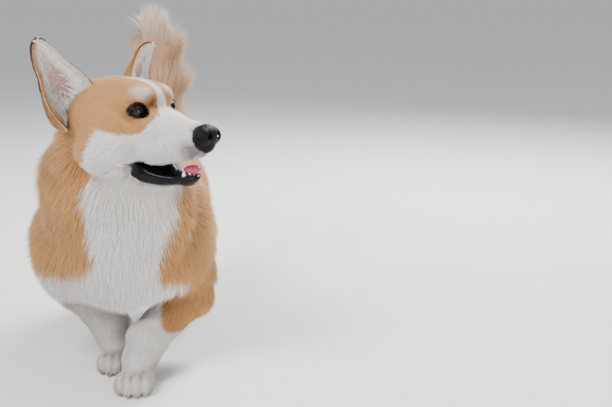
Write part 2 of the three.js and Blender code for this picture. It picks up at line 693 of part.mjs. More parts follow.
// Legs and paws
for (const [name, leg] of Object.entries(LEGS)) {
  const [, knee, wrist, ankle] = leg.joints.map(vec);
  const field = legField(leg);
  const bend = knee.clone().sub(wrist).normalize();
  const upper = legWrap(leg);
  const turn = bend.clone().add(wrist.clone().sub(ankle).normalize());
  const hind = name.startsWith("hind");
  const split = hind ? wrist : ankle.clone().lerp(wrist, 0.35);
  const way = (hind ? turn : wrist.clone().sub(ankle)).normalize().toArray();
  const whole = upper.subtract(trunkCore).intersect(halfSpace(split.toArray(), way));
  add(name, hind ? whole : feathering(leg, whole), WHITE);
  const pawTop = ankle.clone().lerp(wrist, 0.2);
  const pawWay = wrist.clone().sub(ankle).normalize();
  if (hind) {
    const line = [ankle.clone().addScaledVector(pawWay, -8), wrist.clone().addScaledVector(pawWay, 2)];
    const shank = wrap({ line, stations: 8, sides: 12, field, most: 40 });
    const cut = shank.intersect(halfSpace(split.toArray(), opposite(way)));
    add(name.replace("leg", "hock"), cut.intersect(halfSpace(pawTop.toArray(), pawWay.toArray())), WHITE);
  }
  const paw = wrap({
    line: [onPaw(leg.paw, [0, -8, 14]), onPaw(leg.paw, [0, 20, 11])],
    stations: 9,
    sides: 14,
    field,
    most: 48,
  });
  const claws = TOES.map((toe) => claw(leg, toe)).reduce((made, next) => made.add(next));
  const top = hind ? pawTop : split;
  const foot = paw.add(claws).intersect(halfSpace(top.toArray(), opposite(pawWay.toArray())));
  add(`paw_${name}`, foot.intersect(halfSpace([0, 0, SOLE], [0, 0, 1], 0)), WHITE);
}

// The origin lies under the middle of the whole
const middle = new THREE.Box3().setFromObject(group).getCenter(V(0, 0, 0));
group.traverse((node) => node.geometry?.translate(-middle.x, -middle.y, 0));

export default group;
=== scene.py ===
"""A life-size Pembroke Welsh Corgi, caught mid-step with its head turned to its left.

The dog walks towards -Y. Fields of flesh masses, in millimetres and in the dog's own frame, shape the
skin; the coat is rooted on it as thin solid tufts that follow the lie of the fur.
"""

import logging
import math
from dataclasses import dataclass, field, fields
from enum import Enum
from typing import Callable, Sequence

import bpy
import numpy as np
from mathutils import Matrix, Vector
from mathutils.bvhtree import BVHTree
from mathutils.kdtree import KDTree

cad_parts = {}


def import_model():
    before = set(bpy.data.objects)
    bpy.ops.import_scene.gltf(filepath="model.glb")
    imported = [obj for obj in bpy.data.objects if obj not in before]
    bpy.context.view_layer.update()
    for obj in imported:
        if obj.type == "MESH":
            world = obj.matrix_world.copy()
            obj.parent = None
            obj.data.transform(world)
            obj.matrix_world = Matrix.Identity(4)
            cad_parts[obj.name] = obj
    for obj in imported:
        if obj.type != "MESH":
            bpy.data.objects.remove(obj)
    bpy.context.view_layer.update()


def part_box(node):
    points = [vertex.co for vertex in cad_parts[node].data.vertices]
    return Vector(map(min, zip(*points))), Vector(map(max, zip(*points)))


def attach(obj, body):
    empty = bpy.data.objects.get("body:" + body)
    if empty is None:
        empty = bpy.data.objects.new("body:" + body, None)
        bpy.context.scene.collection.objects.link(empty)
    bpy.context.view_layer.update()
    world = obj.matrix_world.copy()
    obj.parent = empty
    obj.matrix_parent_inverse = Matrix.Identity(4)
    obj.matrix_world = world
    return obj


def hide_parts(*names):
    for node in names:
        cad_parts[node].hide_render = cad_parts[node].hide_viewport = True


log = logging.getLogger("corgi")
MM = 0.001
IMAGE_WIDTH = 612
SENSOR_WIDTH = 36.0
FLOOR_GAP = 0.2
WET_ROUGHNESS = 0.06
RNG = np.random.default_rng(11)
Array = np.ndarray
Distance = Callable[[Array], Array]
Point = tuple[float, float, float]
Colour = tuple[float, float, float]


class Side(Enum):
    """A side of the dog, as the sign of its own left."""

    LEFT = 1
    RIGHT = -1


SIGNS = tuple(side.value for side in Side)


# Small field tools
def unit(v: Array) -> Array:
    """Returns vectors, which run along the last axis, scaled to length one."""
    return v / np.maximum(np.linalg.norm(v, axis=-1, keepdims=True), 1e-9)


def smoothstep(x: Array, low: float, high: float) -> Array:
    """Returns a soft ramp from 0 at low to 1 at high."""
    t = np.clip((x - low) / (high - low), 0.0, 1.0)
    return t * t * (3.0 - 2.0 * t)


def turn_x(degrees: float) -> Array:
    """Returns a turn about X as a 3 by 3 matrix."""
    c, s = math.cos(math.radians(degrees)), math.sin(math.radians(degrees))
    return np.array([[1, 0, 0], [0, c, -s], [0, s, c]], float)


def turn_z(degrees: float) -> Array:
    """Returns a turn about Z as a 3 by 3 matrix."""
    c, s = math.cos(math.radians(degrees)), math.sin(math.radians(degrees))
    return np.array([[c, -s, 0], [s, c, 0], [0, 0, 1]], float)


def ellipsoid(p: Array, centre: Sequence[float], half: Sequence[float], turn: Array | None = None) -> Array:
    """Measures the rough distance to an ellipsoid.

    Args:
        p: the places.
        centre: its middle.
        half: its three half lengths.
        turn: its turn as a matrix, where it has one.

    Returns:
        The distance of each place, negative inside.
    """
    q = p - np.asarray(centre, p.dtype)
    if turn is not None:
        q = q @ turn.astype(p.dtype)
    h = np.asarray(half, p.dtype)
    near = np.linalg.norm(q / h, axis=-1)
    steep = np.linalg.norm(q / h**2, axis=-1)
    return near * (near - 1.0) / np.maximum(steep, 1e-6)


def capsule(p: Array, a: Sequence[float], b: Sequence[float], ra: float, rb: float) -> Array:
    """Measures the distance to a limb that tapers.

    Args:
        p: the places.
        a: its first end.
        b: its other end.
        ra: its radius at a.
        rb: its radius at b.

    Returns:
        The distance of each place, negative inside.
    """
    a_, b_ = np.asarray(a, p.dtype), np.asarray(b, p.dtype)
    along = b_ - a_
    t = np.clip(((p - a_) @ along) / float(along @ along), 0.0, 1.0)
    return np.linalg.norm(p - a_ - t[..., None] * along, axis=-1) - (ra + (rb - ra) * t)


def blend(soft: float, *values: Array) -> Array:
    """Joins distances with a soft fold.

    Args:
        soft: the fold's width.
        values: the distances.

    Returns:
        The distance to all of them as one form.
    """
    least = values[0]
    for value in values[1:]:
        h = np.maximum(soft - np.abs(least - value), 0.0) / soft
        least = np.minimum(least, value) - h * h * soft / 4
    return least


def carve(soft: float, value: Array, cutter: Array) -> Array:
    """Takes the inside of cutter away from value, with a soft edge."""
    return -blend(soft, -value, cutter)


# The shape of the dog
@dataclass(frozen=True)
class HeadPose:
    """Where the head sits: degrees to the dog's left, degrees nose up, and the point between the eyes."""

    yaw: float = 55.0
    pitch: float = 3.0
    at: Point = (24.0, -198.0, 328.0)

    def matrix(self) -> Array:
        """Returns the turn from the head's own across, back and up to the dog's frame."""
        return turn_z(self.yaw) @ turn_x(-self.pitch)

    def local(self, p: Array) -> Array:
        """Returns points as forward, left and up from between the eyes."""
        q = (p - np.asarray(self.at, p.dtype)) @ self.matrix().astype(p.dtype)
        return np.stack([-q[..., 1], q[..., 0], q[..., 2]], -1)

    def world(self, uvw: Array) -> Array:
        """Returns points given as forward, left and up in the dog's frame."""
        q = np.stack([uvw[..., 1], -uvw[..., 0], uvw[..., 2]], -1)
        return q @ self.matrix().T + np.asarray(self.at)

    def turn(self, uvw: Array) -> Array:
        """Returns directions given as forward, left and up in the dog's frame."""
        return np.stack([uvw[..., 1], -uvw[..., 0], uvw[..., 2]], -1) @ self.matrix().T


@dataclass(frozen=True)
class EyeSize:
    """An eye: its radius, place and gaze, and the half length and half height of the open lids."""

    radius: float = 10.4
    apart: float = 26.5
    forward: float = -3.0
    up: float = 0.0
    outward: float = 24.0
    half_length: float = 10.2
    rise: float = 7.2
    corner: float = -1.2
    lifted: float = 1.4


@dataclass(frozen=True)
class Leg:
    """A leg's joints from elbow or stifle down, the radii there, and its paw."""

    joints: tuple[Point, ...]
    radii: tuple[float, ...]
    paw: tuple[float, float]
    heading: float


LEGS = {
    "foreleg_left": Leg(
        ((50, -88, 112), (52, -96, 88), (6, -158, 47), (-2, -176, 27)), (36, 30, 22, 19), (-5, -195), -6
    ),
    "foreleg_right": Leg(
        ((-80, -60, 118), (-82, -66, 88), (-44, -102, 45), (-37, -108, 27)),
        (34, 30, 22, 19),
        (-35, -125),
        -4,
    ),
    "hindleg_left": Leg(
        ((44, 88, 126), (47, 92, 104), (47, 146, 66), (44, 124, 27)), (38, 33, 17, 16.5), (43, 106), 5
    ),
    "hindleg_right": Leg(
        ((-58, 112, 126), (-60, 118, 104), (-55, 186, 68), (-50, 168, 27)),
        (42, 36, 17, 16.5),
        (-49, 150),
        -5,
    ),
}
TAIL_LINE = np.array([[-3, 176, 214], [-2, 198, 254], [0, 206, 304], [0, 196, 352], [-1, 190, 378]], float)
TAIL_RADII = (26.0, 31.0, 41.0, 37.0, 24.0)
TOES = (-1.5, -0.5, 0.5, 1.5)


def spine_x(y: float) -> float:
    """Returns how far across the spine lies: it leans to the dog's right towards the front."""
    t = min(max((-y + 90) / 230, 0.0), 1.0)
    return -22 * t * t * (3 - 2 * t)


def toe_at(place: float) -> tuple[float, float, float]:
    """Returns a toe's middle in its paw's own frame: across, forward and up."""
    return (place * 9.6, 15.0 if abs(place) > 1 else 21.0, 10.5)


@dataclass
class Anatomy:
    """The distances that shape the skin and the tips of the coat, and the dog's place in the model."""

    pose: HeadPose = field(default_factory=HeadPose)
    eye: EyeSize = field(default_factory=EyeSize)

    def __post_init__(self) -> None:
        """Finds how far the model's frame lies from the dog's own, by the left eye."""
        low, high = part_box("eye_left")
        eye = self.from_eye(np.zeros((1, 3)), 1)[0]
        self.shift = (np.array(low) + np.array(high)) / 2 - eye * MM

    def place(self, p: Array) -> Array:
        """Returns places of the dog's own frame, in millimetres, in metres in the model's frame."""
        return p * MM + self.shift

    def trunk(self, p: Array, inset: float = 0.0, neck_inset: float = 0.0) -> Array:
        """Shapes the trunk and neck.

        Args:
            p: places in the dog's frame, in millimetres.
            inset: how deep the trunk's coat is.
            neck_inset: how deep the neck's coat is.

        Returns:
            The distance of each place, negative inside.
        """
        e, s = ellipsoid, spine_x
        parts = [
            e(p, (s(-60), -50, 170), (86, 135, 84)) + inset,
            e(p, (s(-115), -112, 158), (92, 76, 78)) + inset,
            e(p, (s(60) - 5, 60, 176), (74, 120, 74)) + inset,
            e(p, (-5, 122, 178), (68, 76, 76)) + inset,
            e(p, (s(-150) + 4, -150, 166), (72, 44, 68)) + inset,
        ]
        for side in SIGNS:
            parts.append(e(p, (s(-105) + side * 68 - 5, -98, 152), (42, 58, 68), turn_x(-14)) + inset)
            parts.append(e(p, (side * 41 - 5, 116, 148), (34, 62, 72), turn_x(10)) + inset)
        parts += [
            capsule(p, (-22, -105, 205), (-28, -140, 286), 90, 54) + neck_inset,
            e(p, (-52, -134, 234), (65, 54, 66)) + neck_inset,
            capsule(p, (-58, -188, 300), (-60, -154, 256), 23, 41) + neck_inset,
            e(p, (-6, -164, 222), (72, 40, 62)) + neck_inset,
            e(p, (2, -176, 254), (54, 34, 36)) + neck_inset,
        ]
        return blend(26, *parts)

    def skull(self, q: Array) -> Array:
        """Shapes the head without its jaw.

        Args:
            q: places in the head's own frame, in millimetres.

        Returns:
            The distance of each place, negative inside.
        """
        e = ellipsoid
        parts = [
            e(q, (-50, 0, 4), (50, 48, 32)),
            e(q, (-52, 0, -12), (46, 58, 36)),
            e(q, (-16, 0, 8), (30, 33, 23)),
        ]
        for s in SIGNS:
            parts += [
                e(q, (-4, s * 17, 13), (16, 13, 10)),
                e(q, (-14, s * 22, -1), (17, 15.5, 15)),
                e(q, (-34, s * 36, -34), (40, 29, 34)),
                e(q, (2, s * 19, -20), (28, 15, 18)),
                capsule(q, (4, s * 14, -42), (51, s * 9.5, -42), 21, 14.5),
            ]
        parts += [capsule(q, (2, 0, -18), (62, 0, -30), 23, 13.5), e(q, (57, 0, -37), (18, 19, 18))]
        parts.append(e(q, (-40, 0, -58), (46, 38, 28)))
        return blend(11, *parts)

    def jaw(self, q: Array) -> Array:
        """Shapes the lower jaw.

        Args:
            q: places in the head's own frame, in millimetres.

        Returns:
            The distance of each place, negative inside.
        """
        parts = [capsule(q, (-24, s * 15, -67), (42, s * 6, -73), 17.5, 11.5) for s in SIGNS]
        parts += [ellipsoid(q, (46, 0, -73), (14, 13.5, 12)), ellipsoid(q, (0, 0, -76), (40, 20, 11))]
        return blend(9, *parts)

    @staticmethod
    def lip(u: Array) -> Array:
        """Returns the height of the upper lip's edge along the muzzle."""
        at = [-14, -4, 4, 11, 26, 40, 51, 60, 72]
        return np.interp(u, at, [-55, -51, -53, -60, -65, -63, -58.5, -54, -49.5])

    @staticmethod
    def jaw_top(u: Array) -> Array:
        """Returns the height of the lower lip's edge along the jaw."""
        return np.interp(u, [-14, -4, 6, 20, 34, 46, 58], [-56, -58, -66, -70, -70.5, -69, -67])

    def mouth(self, q: Array) -> Array:
        """Shapes the open space between the lips.

        Args:
            q: places in the head's own frame, in millimetres.

        Returns:
            The distance of each place, negative inside.
        """
        u, v, w = q[..., 0], q[..., 1], q[..., 2]
        middle = (self.lip(u) + self.jaw_top(u)) / 2
        gape = (self.lip(u) - self.jaw_top(u)) / 2
        roof = 5.0 * np.exp(-((v / 12.0) ** 2))
        return np.maximum(np.abs(w - middle) - gape - roof * smoothstep(u, -6, 12), -14 - u)

    def eye_frame(self, q: Array, side: int) -> Array:
        """Turns places of the head into an eye's own frame.

        Args:
            q: places in the head's own frame, in millimetres.
            side: 1 for the left eye and -1 for the right one.

        Returns:
            Each place as outwards, up and ahead from the eye's centre.
        """
        gaze = math.radians(self.eye.outward)
        du = q[..., 0] - self.eye.forward
        dv = side * q[..., 1] - self.eye.apart
        ahead = du * math.cos(gaze) + dv * math.sin(gaze)
        out = -du * math.sin(gaze) + dv * math.cos(gaze)
        return np.stack([out, q[..., 2] - self.eye.up, ahead], -1)

    def from_eye(self, local: Array, side: int) -> Array:
        """Turns places of an eye's own frame into the dog's.

        Args:
            local: places as outwards, up and ahead from the eye's centre.
            side: 1 for the left eye and -1 for the right one.

        Returns:
            The places in the dog's frame, in millimetres.
        """
        gaze = math.radians(self.eye.outward)
        u = self.eye.forward + math.cos(gaze) * local[..., 2] - math.sin(gaze) * local[..., 0]
        v = side * (self.eye.apart + math.sin(gaze) * local[..., 2] + math.cos(gaze) * local[..., 0])
        return self.pose.world(np.stack([u, v, self.eye.up + local[..., 1]], -1))

    def lid_line(self, f: Array) -> Array:
        """Measures how near places are to the edge of the lids.

        Args:
            f: places in an eye's own frame.

        Returns:
            1 along the edge, less inside and more outside.
        """
        out, up = f[..., 0] - self.eye.corner, f[..., 1] - self.eye.lifted
        up = up - 0.08 * out + 0.012 * out**2
        return np.hypot(out / self.eye.half_length, up / self.eye.rise)

    def head(self, p: Array, inset: float = 0.0) -> Array:
        """Shapes the head, with its mouth open and its eye sockets where it is the skin's.

        Args:
            p: places in the dog's frame, in millimetres.
            inset: how deep the coat is, 0 for the coat's tips.

        Returns:
            The distance of each place, negative inside.
        """
        q = self.pose.local(p)
        whole = blend(5, self.skull(q), self.jaw(q) + 0.5) + inset
        if inset:
            whole = carve(3, whole, self.mouth(q))
            for side in SIGNS:
                f = self.eye_frame(q, side)
                ball = np.linalg.norm(f, axis=-1)
                whole = blend(4, whole, ball - self.eye.radius - 1.2)
                opening = np.maximum((self.lid_line(f) - 1) * self.eye.rise, 2 - f[..., 2])
                whole = carve(1.2, whole, opening)
        return whole

    def paw(self, p: Array, leg: Leg) -> Array:
        """Shapes a paw.

        Args:
            p: places in the dog's frame, in millimetres.
            leg: the leg that it ends.

        Returns:
            The distance of each place, negative inside.
        """
        turn = turn_z(leg.heading)
        q = (p - np.array([*leg.paw, 0.0])) @ turn
        toes = [ellipsoid(q, (t[0], -t[1], t[2]), (8.2, 14.5, 12.5)) for t in map(toe_at, TOES)]
        pad = ellipsoid(q, (0, 2, 11), (19.5, 23, 14))
        ankle = (np.array(leg.joints[3]) - np.array([*leg.paw, 0.0])) @ turn
        return blend(9, blend(3, *toes), pad, capsule(q, ankle, (0, -2, 14), leg.radii[3] - 1, 13))

    def leg(self, p: Array, leg: Leg, inset: float = 0.0, paw_inset: float = 0.0) -> Array:
        """Shapes a leg with its paw.

        Args:
            p: places in the dog's frame, in millimetres.
            leg: the leg.
            inset: how deep its coat is.
            paw_inset: how deep the paw's coat is.

        Returns:
            The distance of each place, negative inside.
        """
        j, r = leg.joints, leg.radii
        lengths = [capsule(p, j[i], j[i + 1], r[i], r[i + 1]) + inset for i in range(3)]
        return blend(12, *lengths, self.paw(p, leg) + paw_inset)

    def tail(self, p: Array, share: float = 1.0) -> Array:
        """Shapes the tail's brush, or its core.

        Args:
            p: places in the dog's frame, in millimetres.
            share: the core's share of the brush's radius.

        Returns:
            The distance of each place, negative inside.
        """
        line, radii = TAIL_LINE, [r * share for r in TAIL_RADII]
        parts = [capsule(p, line[i], line[i + 1], radii[i], radii[i + 1]) for i in range(4)]
        return blend(14 * share, *parts)

    def coat(self, p: Array) -> Array:
        """Returns the distance to the tips of the coat."""
        parts = [self.trunk(p), self.head(p), self.tail(p)] + [self.leg(p, leg) for leg in LEGS.values()]
        return blend(10, *parts)

    def skin(self, p: Array) -> Array:
        """Shapes the skin, with the soles' flats.

        Args:
            p: places in the dog's frame, in millimetres.

        Returns:
            The distance of each place, negative inside.
        """
        legs = [self.leg(p, leg, 4.0, 1.6) for leg in LEGS.values()]
        body = blend(16, self.trunk(p, 9.0, 12.0), *legs, self.tail(p, 0.42))
        return np.maximum(blend(14, body, self.head(p, 2.6)), 1.0 - p[..., 2])


# Meshes from fields
CORNERS = np.array([[i, j, k] for i in (0, 1) for j in (0, 1) for k in (0, 1)])
EDGES = [(a, b) for a in range(8) for b in range(a + 1, 8) if np.abs(CORNERS[a] - CORNERS[b]).sum() == 1]


def sample(distance: Distance, low: Array, high: Array, step: float, coarse: int = 5) -> Array:
    """Samples a distance on a fine grid, closely only near its surface.

    Args:
        distance: the distance.
        low: the grid's low corner.
        high: its high corner.
        step: the fine grid's step.
        coarse: how many fine steps the first look takes at once.

    Returns:
        The distance at each point of the fine grid.
    """
    shape = np.ceil((high - low) / (step * coarse)).astype(int) + 1
    axes = [low[i] + step * coarse * np.arange(shape[i]) for i in range(3)]
    grid = np.stack(np.meshgrid(*axes, indexing="ij"), -1).astype(np.float32)
    rough = distance(grid.reshape(-1, 3)).reshape(tuple(shape))
    near = np.abs(rough) < step * coarse * 1.3
    wide = np.zeros(tuple(shape - 1), bool)
    for c in CORNERS:
        wide |= near[c[0] : shape[0] - 1 + c[0], c[1] : shape[1] - 1 + c[1], c[2] : shape[2] - 1 + c[2]]
    fine_shape = tuple((shape - 1) * coarse + 1)
    values = np.repeat(np.repeat(np.repeat(rough, coarse, 0), coarse, 1), coarse, 2)
    values = values[: fine_shape[0], : fine_shape[1], : fine_shape[2]].astype(np.float32)
    mask = np.zeros(fine_shape, bool)
    block = np.repeat(np.repeat(np.repeat(wide, coarse, 0), coarse, 1), coarse, 2)
    mask[: block.shape[0], : block.shape[1], : block.shape[2]] = block
    for axis in range(3):
        mask |= np.roll(mask, 1, axis)
    index = np.argwhere(mask)
    values[mask] = distance((low + step * index).astype(np.float32))
    return values


def surface_net(values: Array, low: Array, step: float) -> tuple[Array, Array]:
    """Meshes the zero surface of a sampled distance.

    Args:
        values: the distance on a grid.
        low: the grid's low corner.
        step: its step.

    Returns:
        The vertices and the quads, which face outwards.
    """
    inside = values < 0
    n = np.array(values.shape) - 1
    count = np.zeros(tuple(n), np.int8)
    for c in CORNERS:
        count += inside[c[0] : n[0] + c[0], c[1] : n[1] + c[1], c[2] : n[2] + c[2]]
    active = (count > 0) & (count < 8)
    cells = np.argwhere(active)
    index = np.full(tuple(n), -1, np.int64)
    index[active] = np.arange(len(cells))
    total = np.zeros((len(cells), 3))
    hits = np.zeros(len(cells))
    for a, b in EDGES:
        pa, pb = cells + CORNERS[a], cells + CORNERS[b]
        va, vb = values[tuple(pa.T)], values[tuple(pb.T)]
        cross = (va < 0) != (vb < 0)
        t = np.where(cross, va / np.where(cross, va - vb, 1), 0)
        total[cross] += (CORNERS[a] + t[:, None] * (CORNERS[b] - CORNERS[a]))[cross]
        hits[cross] += 1
    vertices = low + step * (cells + total / hits[:, None])
    quads = []
    for axis in range(3):
        first, second = (axis + 1) % 3, (axis + 2) % 3
        step_axis = np.zeros(3, int)
        step_axis[axis] = 1
        here = [slice(0, s) for s in values.shape]
        there = [slice(0, s) for s in values.shape]
        here[axis], there[axis] = slice(0, -1), slice(1, None)
        change = inside[tuple(here)] != inside[tuple(there)]
        nodes = np.argwhere(change)
        ok = (nodes[:, first] > 0) & (nodes[:, second] > 0)
        ok &= (nodes[:, first] < n[first]) & (nodes[:, second] < n[second])
        nodes = nodes[ok]
        e1, e2 = np.eye(3, dtype=int)[first], np.eye(3, dtype=int)[second]
        ring = [index[tuple((nodes - a * e1 - b * e2).T)] for a, b in ((1, 1), (0, 1), (0, 0), (1, 0))]
        ring = np.stack(ring, -1)
        outward = inside[tuple(nodes.T)]
        ring[~outward] = ring[~outward][:, ::-1]
        quads.append(ring)
    return vertices, np.concatenate(quads)


def settle(distance: Distance, slope: Distance, vertices: Array, most: float) -> Array:
    """Moves vertices onto the exact surface.

    Args:
        distance: the distance.
        slope: its outward direction.
        vertices: the vertices.
        most: how far a vertex may move at once.

    Returns:
        The moved vertices.
    """
    p = vertices.copy()
    for _ in range(2):
        d = np.clip(distance(p), -most, most)
        p -= d[:, None] * slope(p) * 0.9
    return p


def slope_of(distance: Distance, p: Array, step: float) -> Array:
    """Finds the outward direction of a distance.

    Args:
        distance: the distance.
        p: the places, in millimetres.
        step: how far apart it is looked at, in millimetres.

    Returns:
        The direction at each place, of length one.
    """
    parts = []
    for axis in range(3):
        d = np.zeros(3)
        d[axis] = step
        parts.append(distance(p + d) - distance(p - d))
    return unit(np.stack(parts, -1))


def new_mesh(name: str, vertices: Array, faces: Array) -> bpy.types.Object:
    """Makes a smooth mesh object at the origin from vertices in metres and faces of one size.

    Args:
        name: the piece's name.
        vertices: an n by 3 array.
        faces: an m by 3 or m by 4 array of vertex numbers.

    Returns:
        The new object, linked to the scene.
    """
    mesh = bpy.data.meshes.new(name)
    size = faces.shape[1]
    mesh.vertices.add(len(vertices))
    mesh.vertices.foreach_set("co", np.ascontiguousarray(vertices, np.float32).ravel())
    mesh.loops.add(faces.size)
    mesh.loops.foreach_set("vertex_index", np.ascontiguousarray(faces, np.int32).ravel())
    mesh.polygons.add(len(faces))
    mesh.polygons.foreach_set("loop_start", np.arange(0, faces.size, size, dtype=np.int32))
    mesh.polygons.foreach_set("use_smooth", np.ones(len(faces), bool))
    mesh.update(calc_edges=True)
    obj = bpy.data.objects.new(name, mesh)
    bpy.context.scene.collection.objects.link(obj)
    return obj


def paint(obj: bpy.types.Object, name: str, values: Array) -> None:
    """Stores four numbers at each vertex as a colour attribute.

    Args:
        obj: the piece.
        name: the attribute's name.
        values: four numbers for each vertex.
    """
    attribute = obj.data.attributes.new(name, "FLOAT_COLOR", "POINT")
    attribute.data.foreach_set("color", np.ascontiguousarray(values, np.float32).ravel())


def soften(obj: bpy.types.Object, normals: Array) -> None:
    """Stores a shading normal for each vertex, so that the coat is lit like the body under it.

    Args:
        obj: the piece.
        normals: a direction for each vertex.
    """
    attribute = obj.data.attributes.new("custom_normal", "FLOAT_VECTOR", "POINT")
    attribute.data.foreach_set("vector", np.ascontiguousarray(normals, np.float32).ravel())


def map_uv(obj: bpy.types.Object, uv: Array) -> None:
    """Stores a place on the unwrap for each vertex, as the map OFBake.

    Args:
        obj: the piece.
        uv: a place for each vertex.
    """
    layer = obj.data.uv_layers.new(name="OFBake")
    loops = np.empty(len(obj.data.loops), np.int32)
    obj.data.loops.foreach_get("vertex_index", loops)
    layer.data.foreach_set("uv", np.ascontiguousarray(uv[loops], np.float32).ravel())


# Markings and the lie of the coat
@dataclass
class Root:
    """What the coat does at a set of places on the skin, one row for each place."""

    tan: Array
    dark: Array
    bare: Array
    lie: Array
    length: Array
    width: Array
    density: Array
    clump: Array
    fade: Array

    def some(self, keep: Array) -> "Root":
        """Returns the rows that are kept."""
        return Root(*(getattr(self, row.name)[keep] for row in fields(self)))


@dataclass
class Coat:
    """The markings, lengths and directions of the fur over the whole dog; lengths in millimetres."""

    anatomy: Anatomy

    def regions(self, p: Array) -> dict[str, Array]:
        """Shares places out among the regions.

        Args:
            p: places in the dog's frame, in millimetres.

        Returns:
            How much each place belongs to the head, neck, trunk, each leg and the tail.
        """
        e = ellipsoid
        neck = capsule(p, (-26, -124, 238), (-28, -140, 286), 76, 54)
        trunk = e(p, (spine_x(-60), -20, 168), (90, 150, 82))
        distance = {
            "head": self.anatomy.head(p) - 3,
            "neck": np.minimum(neck, e(p, (-20, -150, 236), (84, 56, 60))),
            "trunk": np.minimum(trunk, e(p, (-5, 122, 170), (74, 76, 84))),
            "tail": self.anatomy.tail(p) - 4,
        }
        for name, leg in LEGS.items():
            distance[name] = np.minimum(self.anatomy.leg(p, leg) - 3, self.anatomy.paw(p, leg) - 3)
        least = np.min(list(distance.values()), axis=0)
        weights = {name: np.exp(-(d - least) / 7.0) for name, d in distance.items()}
        total = sum(weights.values())
        return {name: w / total for name, w in weights.items()}

    def face_white(self, q: Array) -> Array:
        """Marks the white of the face: muzzle, cheeks, brows and blaze.

        Args:
            q: places in the head's own frame, in millimetres.

        Returns:
            How white each place is, from 0 to 1.
        """
        u, a, w = q[..., 0], np.abs(q[..., 1]), q[..., 2]
        below = np.interp(u, [-50, -30, -18, 2, 12, 21, 27, 33], [-12, -14, -19, -26, -22, -12, 2, 60]) - w
        behind = np.interp(w, [-60, -38, -20], [-46, -31, -23])
        cheek = smoothstep(below, -2.5, 3) * smoothstep(u - behind, -5, 6)
        wide = np.interp(u, [-34, -14, 6, 15, 23, 32], [0.5, 2.5, 4.5, 6.5, 13, 26])
        blaze = smoothstep(wide - a, -2.5, 2) * smoothstep(u, -40, -24)
        brow = 0.66 * self.brow(q)
        return np.clip(np.max([cheek, blaze, brow], axis=0), 0, 1)

    @staticmethod
    def brow(q: Array) -> Array:
        """Marks the pale patch over an eye.

        Args:
            q: places in the head's own frame, in millimetres.

        Returns:
            How much each place belongs to it, from 0 to 1.
        """
        u, a, w = q[..., 0], np.abs(q[..., 1]), q[..., 2]
        away = np.sqrt(((u + 1) / 15) ** 2 + ((a - 17) / 13) ** 2 + ((w - 15) / 9) ** 2)
        return 1 - smoothstep(away, 0.5, 1.2)

    def body_white(self, p: Array) -> Array:
        """Marks the white of the neck, trunk and rump.

        Args:
            p: places in the dog's frame, in millimetres.

        Returns:
            How white each place is, from 0 to 1.
        """
        x, y, z = p[..., 0], p[..., 1], p[..., 2]
        left = np.interp(z, [130, 146, 162, 180, 215, 250, 290], [-140, -112, -60, -42, -52, -50, -40])
        right = np.interp(z, [96, 134, 148, 164, 180, 205, 250, 290], [70, 60, 26, 18, 24, 34, 48, 58])
        front = smoothstep(-y - np.interp(z, [200, 290], [96, 160]), 0, 20)
        bib = smoothstep(x - left, -5, 8) * smoothstep(right - x, -5, 8) * front
        belly = smoothstep(-z, -104, -90) * smoothstep(84 - np.abs(x + 6), 0, 26)
        rump = 0.75 * smoothstep(y, 158, 178) * smoothstep(-z, -205, -150)
        return np.max([bib, belly, rump], axis=0)

    def leg_white(self, p: Array, name: str) -> Array:
        """Marks a leg: white below, tan over the left elbow and outside the thighs.

        Args:
            p: places in the dog's frame, in millimetres.
            name: the leg's name.

        Returns:
            How white each place is, from 0 to 1.
        """
        x, z = p[..., 0], p[..., 2]
        if name == "foreleg_left":
            over = smoothstep(z - 0.55 * (x - 20), 88, 96) * smoothstep(-x, -54, -44)
            return np.maximum(1 - smoothstep(x, 20, 32) * smoothstep(z + 0.3 * (x - 20), 58, 68), over)
        if name == "foreleg_right":
            return 1 - 0.6 * smoothstep(-x, 84, 100) * smoothstep(z, 66, 90)
        inner = smoothstep(34 - np.abs(x + 6), 0, 14)
        return np.maximum(smoothstep(-z, -84, -60), inner)

    def lips(self, q: Array) -> Array:
        """Marks the black of lips, mouth, eye rims and nose's edge, whiskers' roots, and painted shade under
        the nose.

        Args:
            q: places in the head's own frame, in millimetres.

        Returns:
            How dark each place is, from 0 to 1.
        """
        u, a, w = q[..., 0], np.abs(q[..., 1]), q[..., 2]
        lip = self.anatomy.lip(u)
        low = np.interp(u, [-16, -6, 12, 30, 50, 58], [-70, -79, -83, -85, -84, -78])
        back = np.interp(w, [-82, -70, -51], [-17, -15.5, -8])
        reach = smoothstep(u - back, -2.5, 1.5) * (1 - smoothstep(u, 70, 74)) * smoothstep(50 - a, 0, 4)
        dark = smoothstep(-(w - lip), -2.2, -0.8) * smoothstep(w - low, -1.2, 1.2) * reach
        for side in SIGNS:
            f = self.anatomy.eye_frame(q, side)
            line = self.anatomy.lid_line(f)
            ring = (1 - smoothstep(line, 1.22, 1.36)) * smoothstep(f[..., 2], 0, 2)
            dark = np.maximum(dark, ring)
        # painted shade: a grey-black patch behind and below the nose
        under = 0.8 * smoothstep(u, 48, 62) * smoothstep(-w, 27, 40)
        under = np.maximum(under, 0.16 * self.brow(q))
        nose = np.linalg.norm((q - (71, 0, -30)) / (14, 18, 15.5), axis=-1)
        pad = smoothstep(-nose, -1.1, -1.0)
        for row in range(3):
            for k in range(5):
                height = -36 - 5.5 * row + 1.3 * math.sin(3.0 * k + 2 * row)
                at = (62 - 6.2 * k + 2.4 * row, 21 + 0.6 * k, height)
                dot = np.linalg.norm(np.stack([u, a, w], -1) - at, axis=-1)
                under = np.maximum(under, 0.32 * (1 - smoothstep(dot, 0.8, 2.6)))
        # a dark spot just behind the mouth's corner
        corner_spot = np.linalg.norm(np.stack([u, a, w], -1) - (-21, 50, -61), axis=-1)
        under = np.maximum(under, 0.6 * (1 - smoothstep(corner_spot, 1.5, 4)))
        return np.max([dark, under, pad], axis=0)

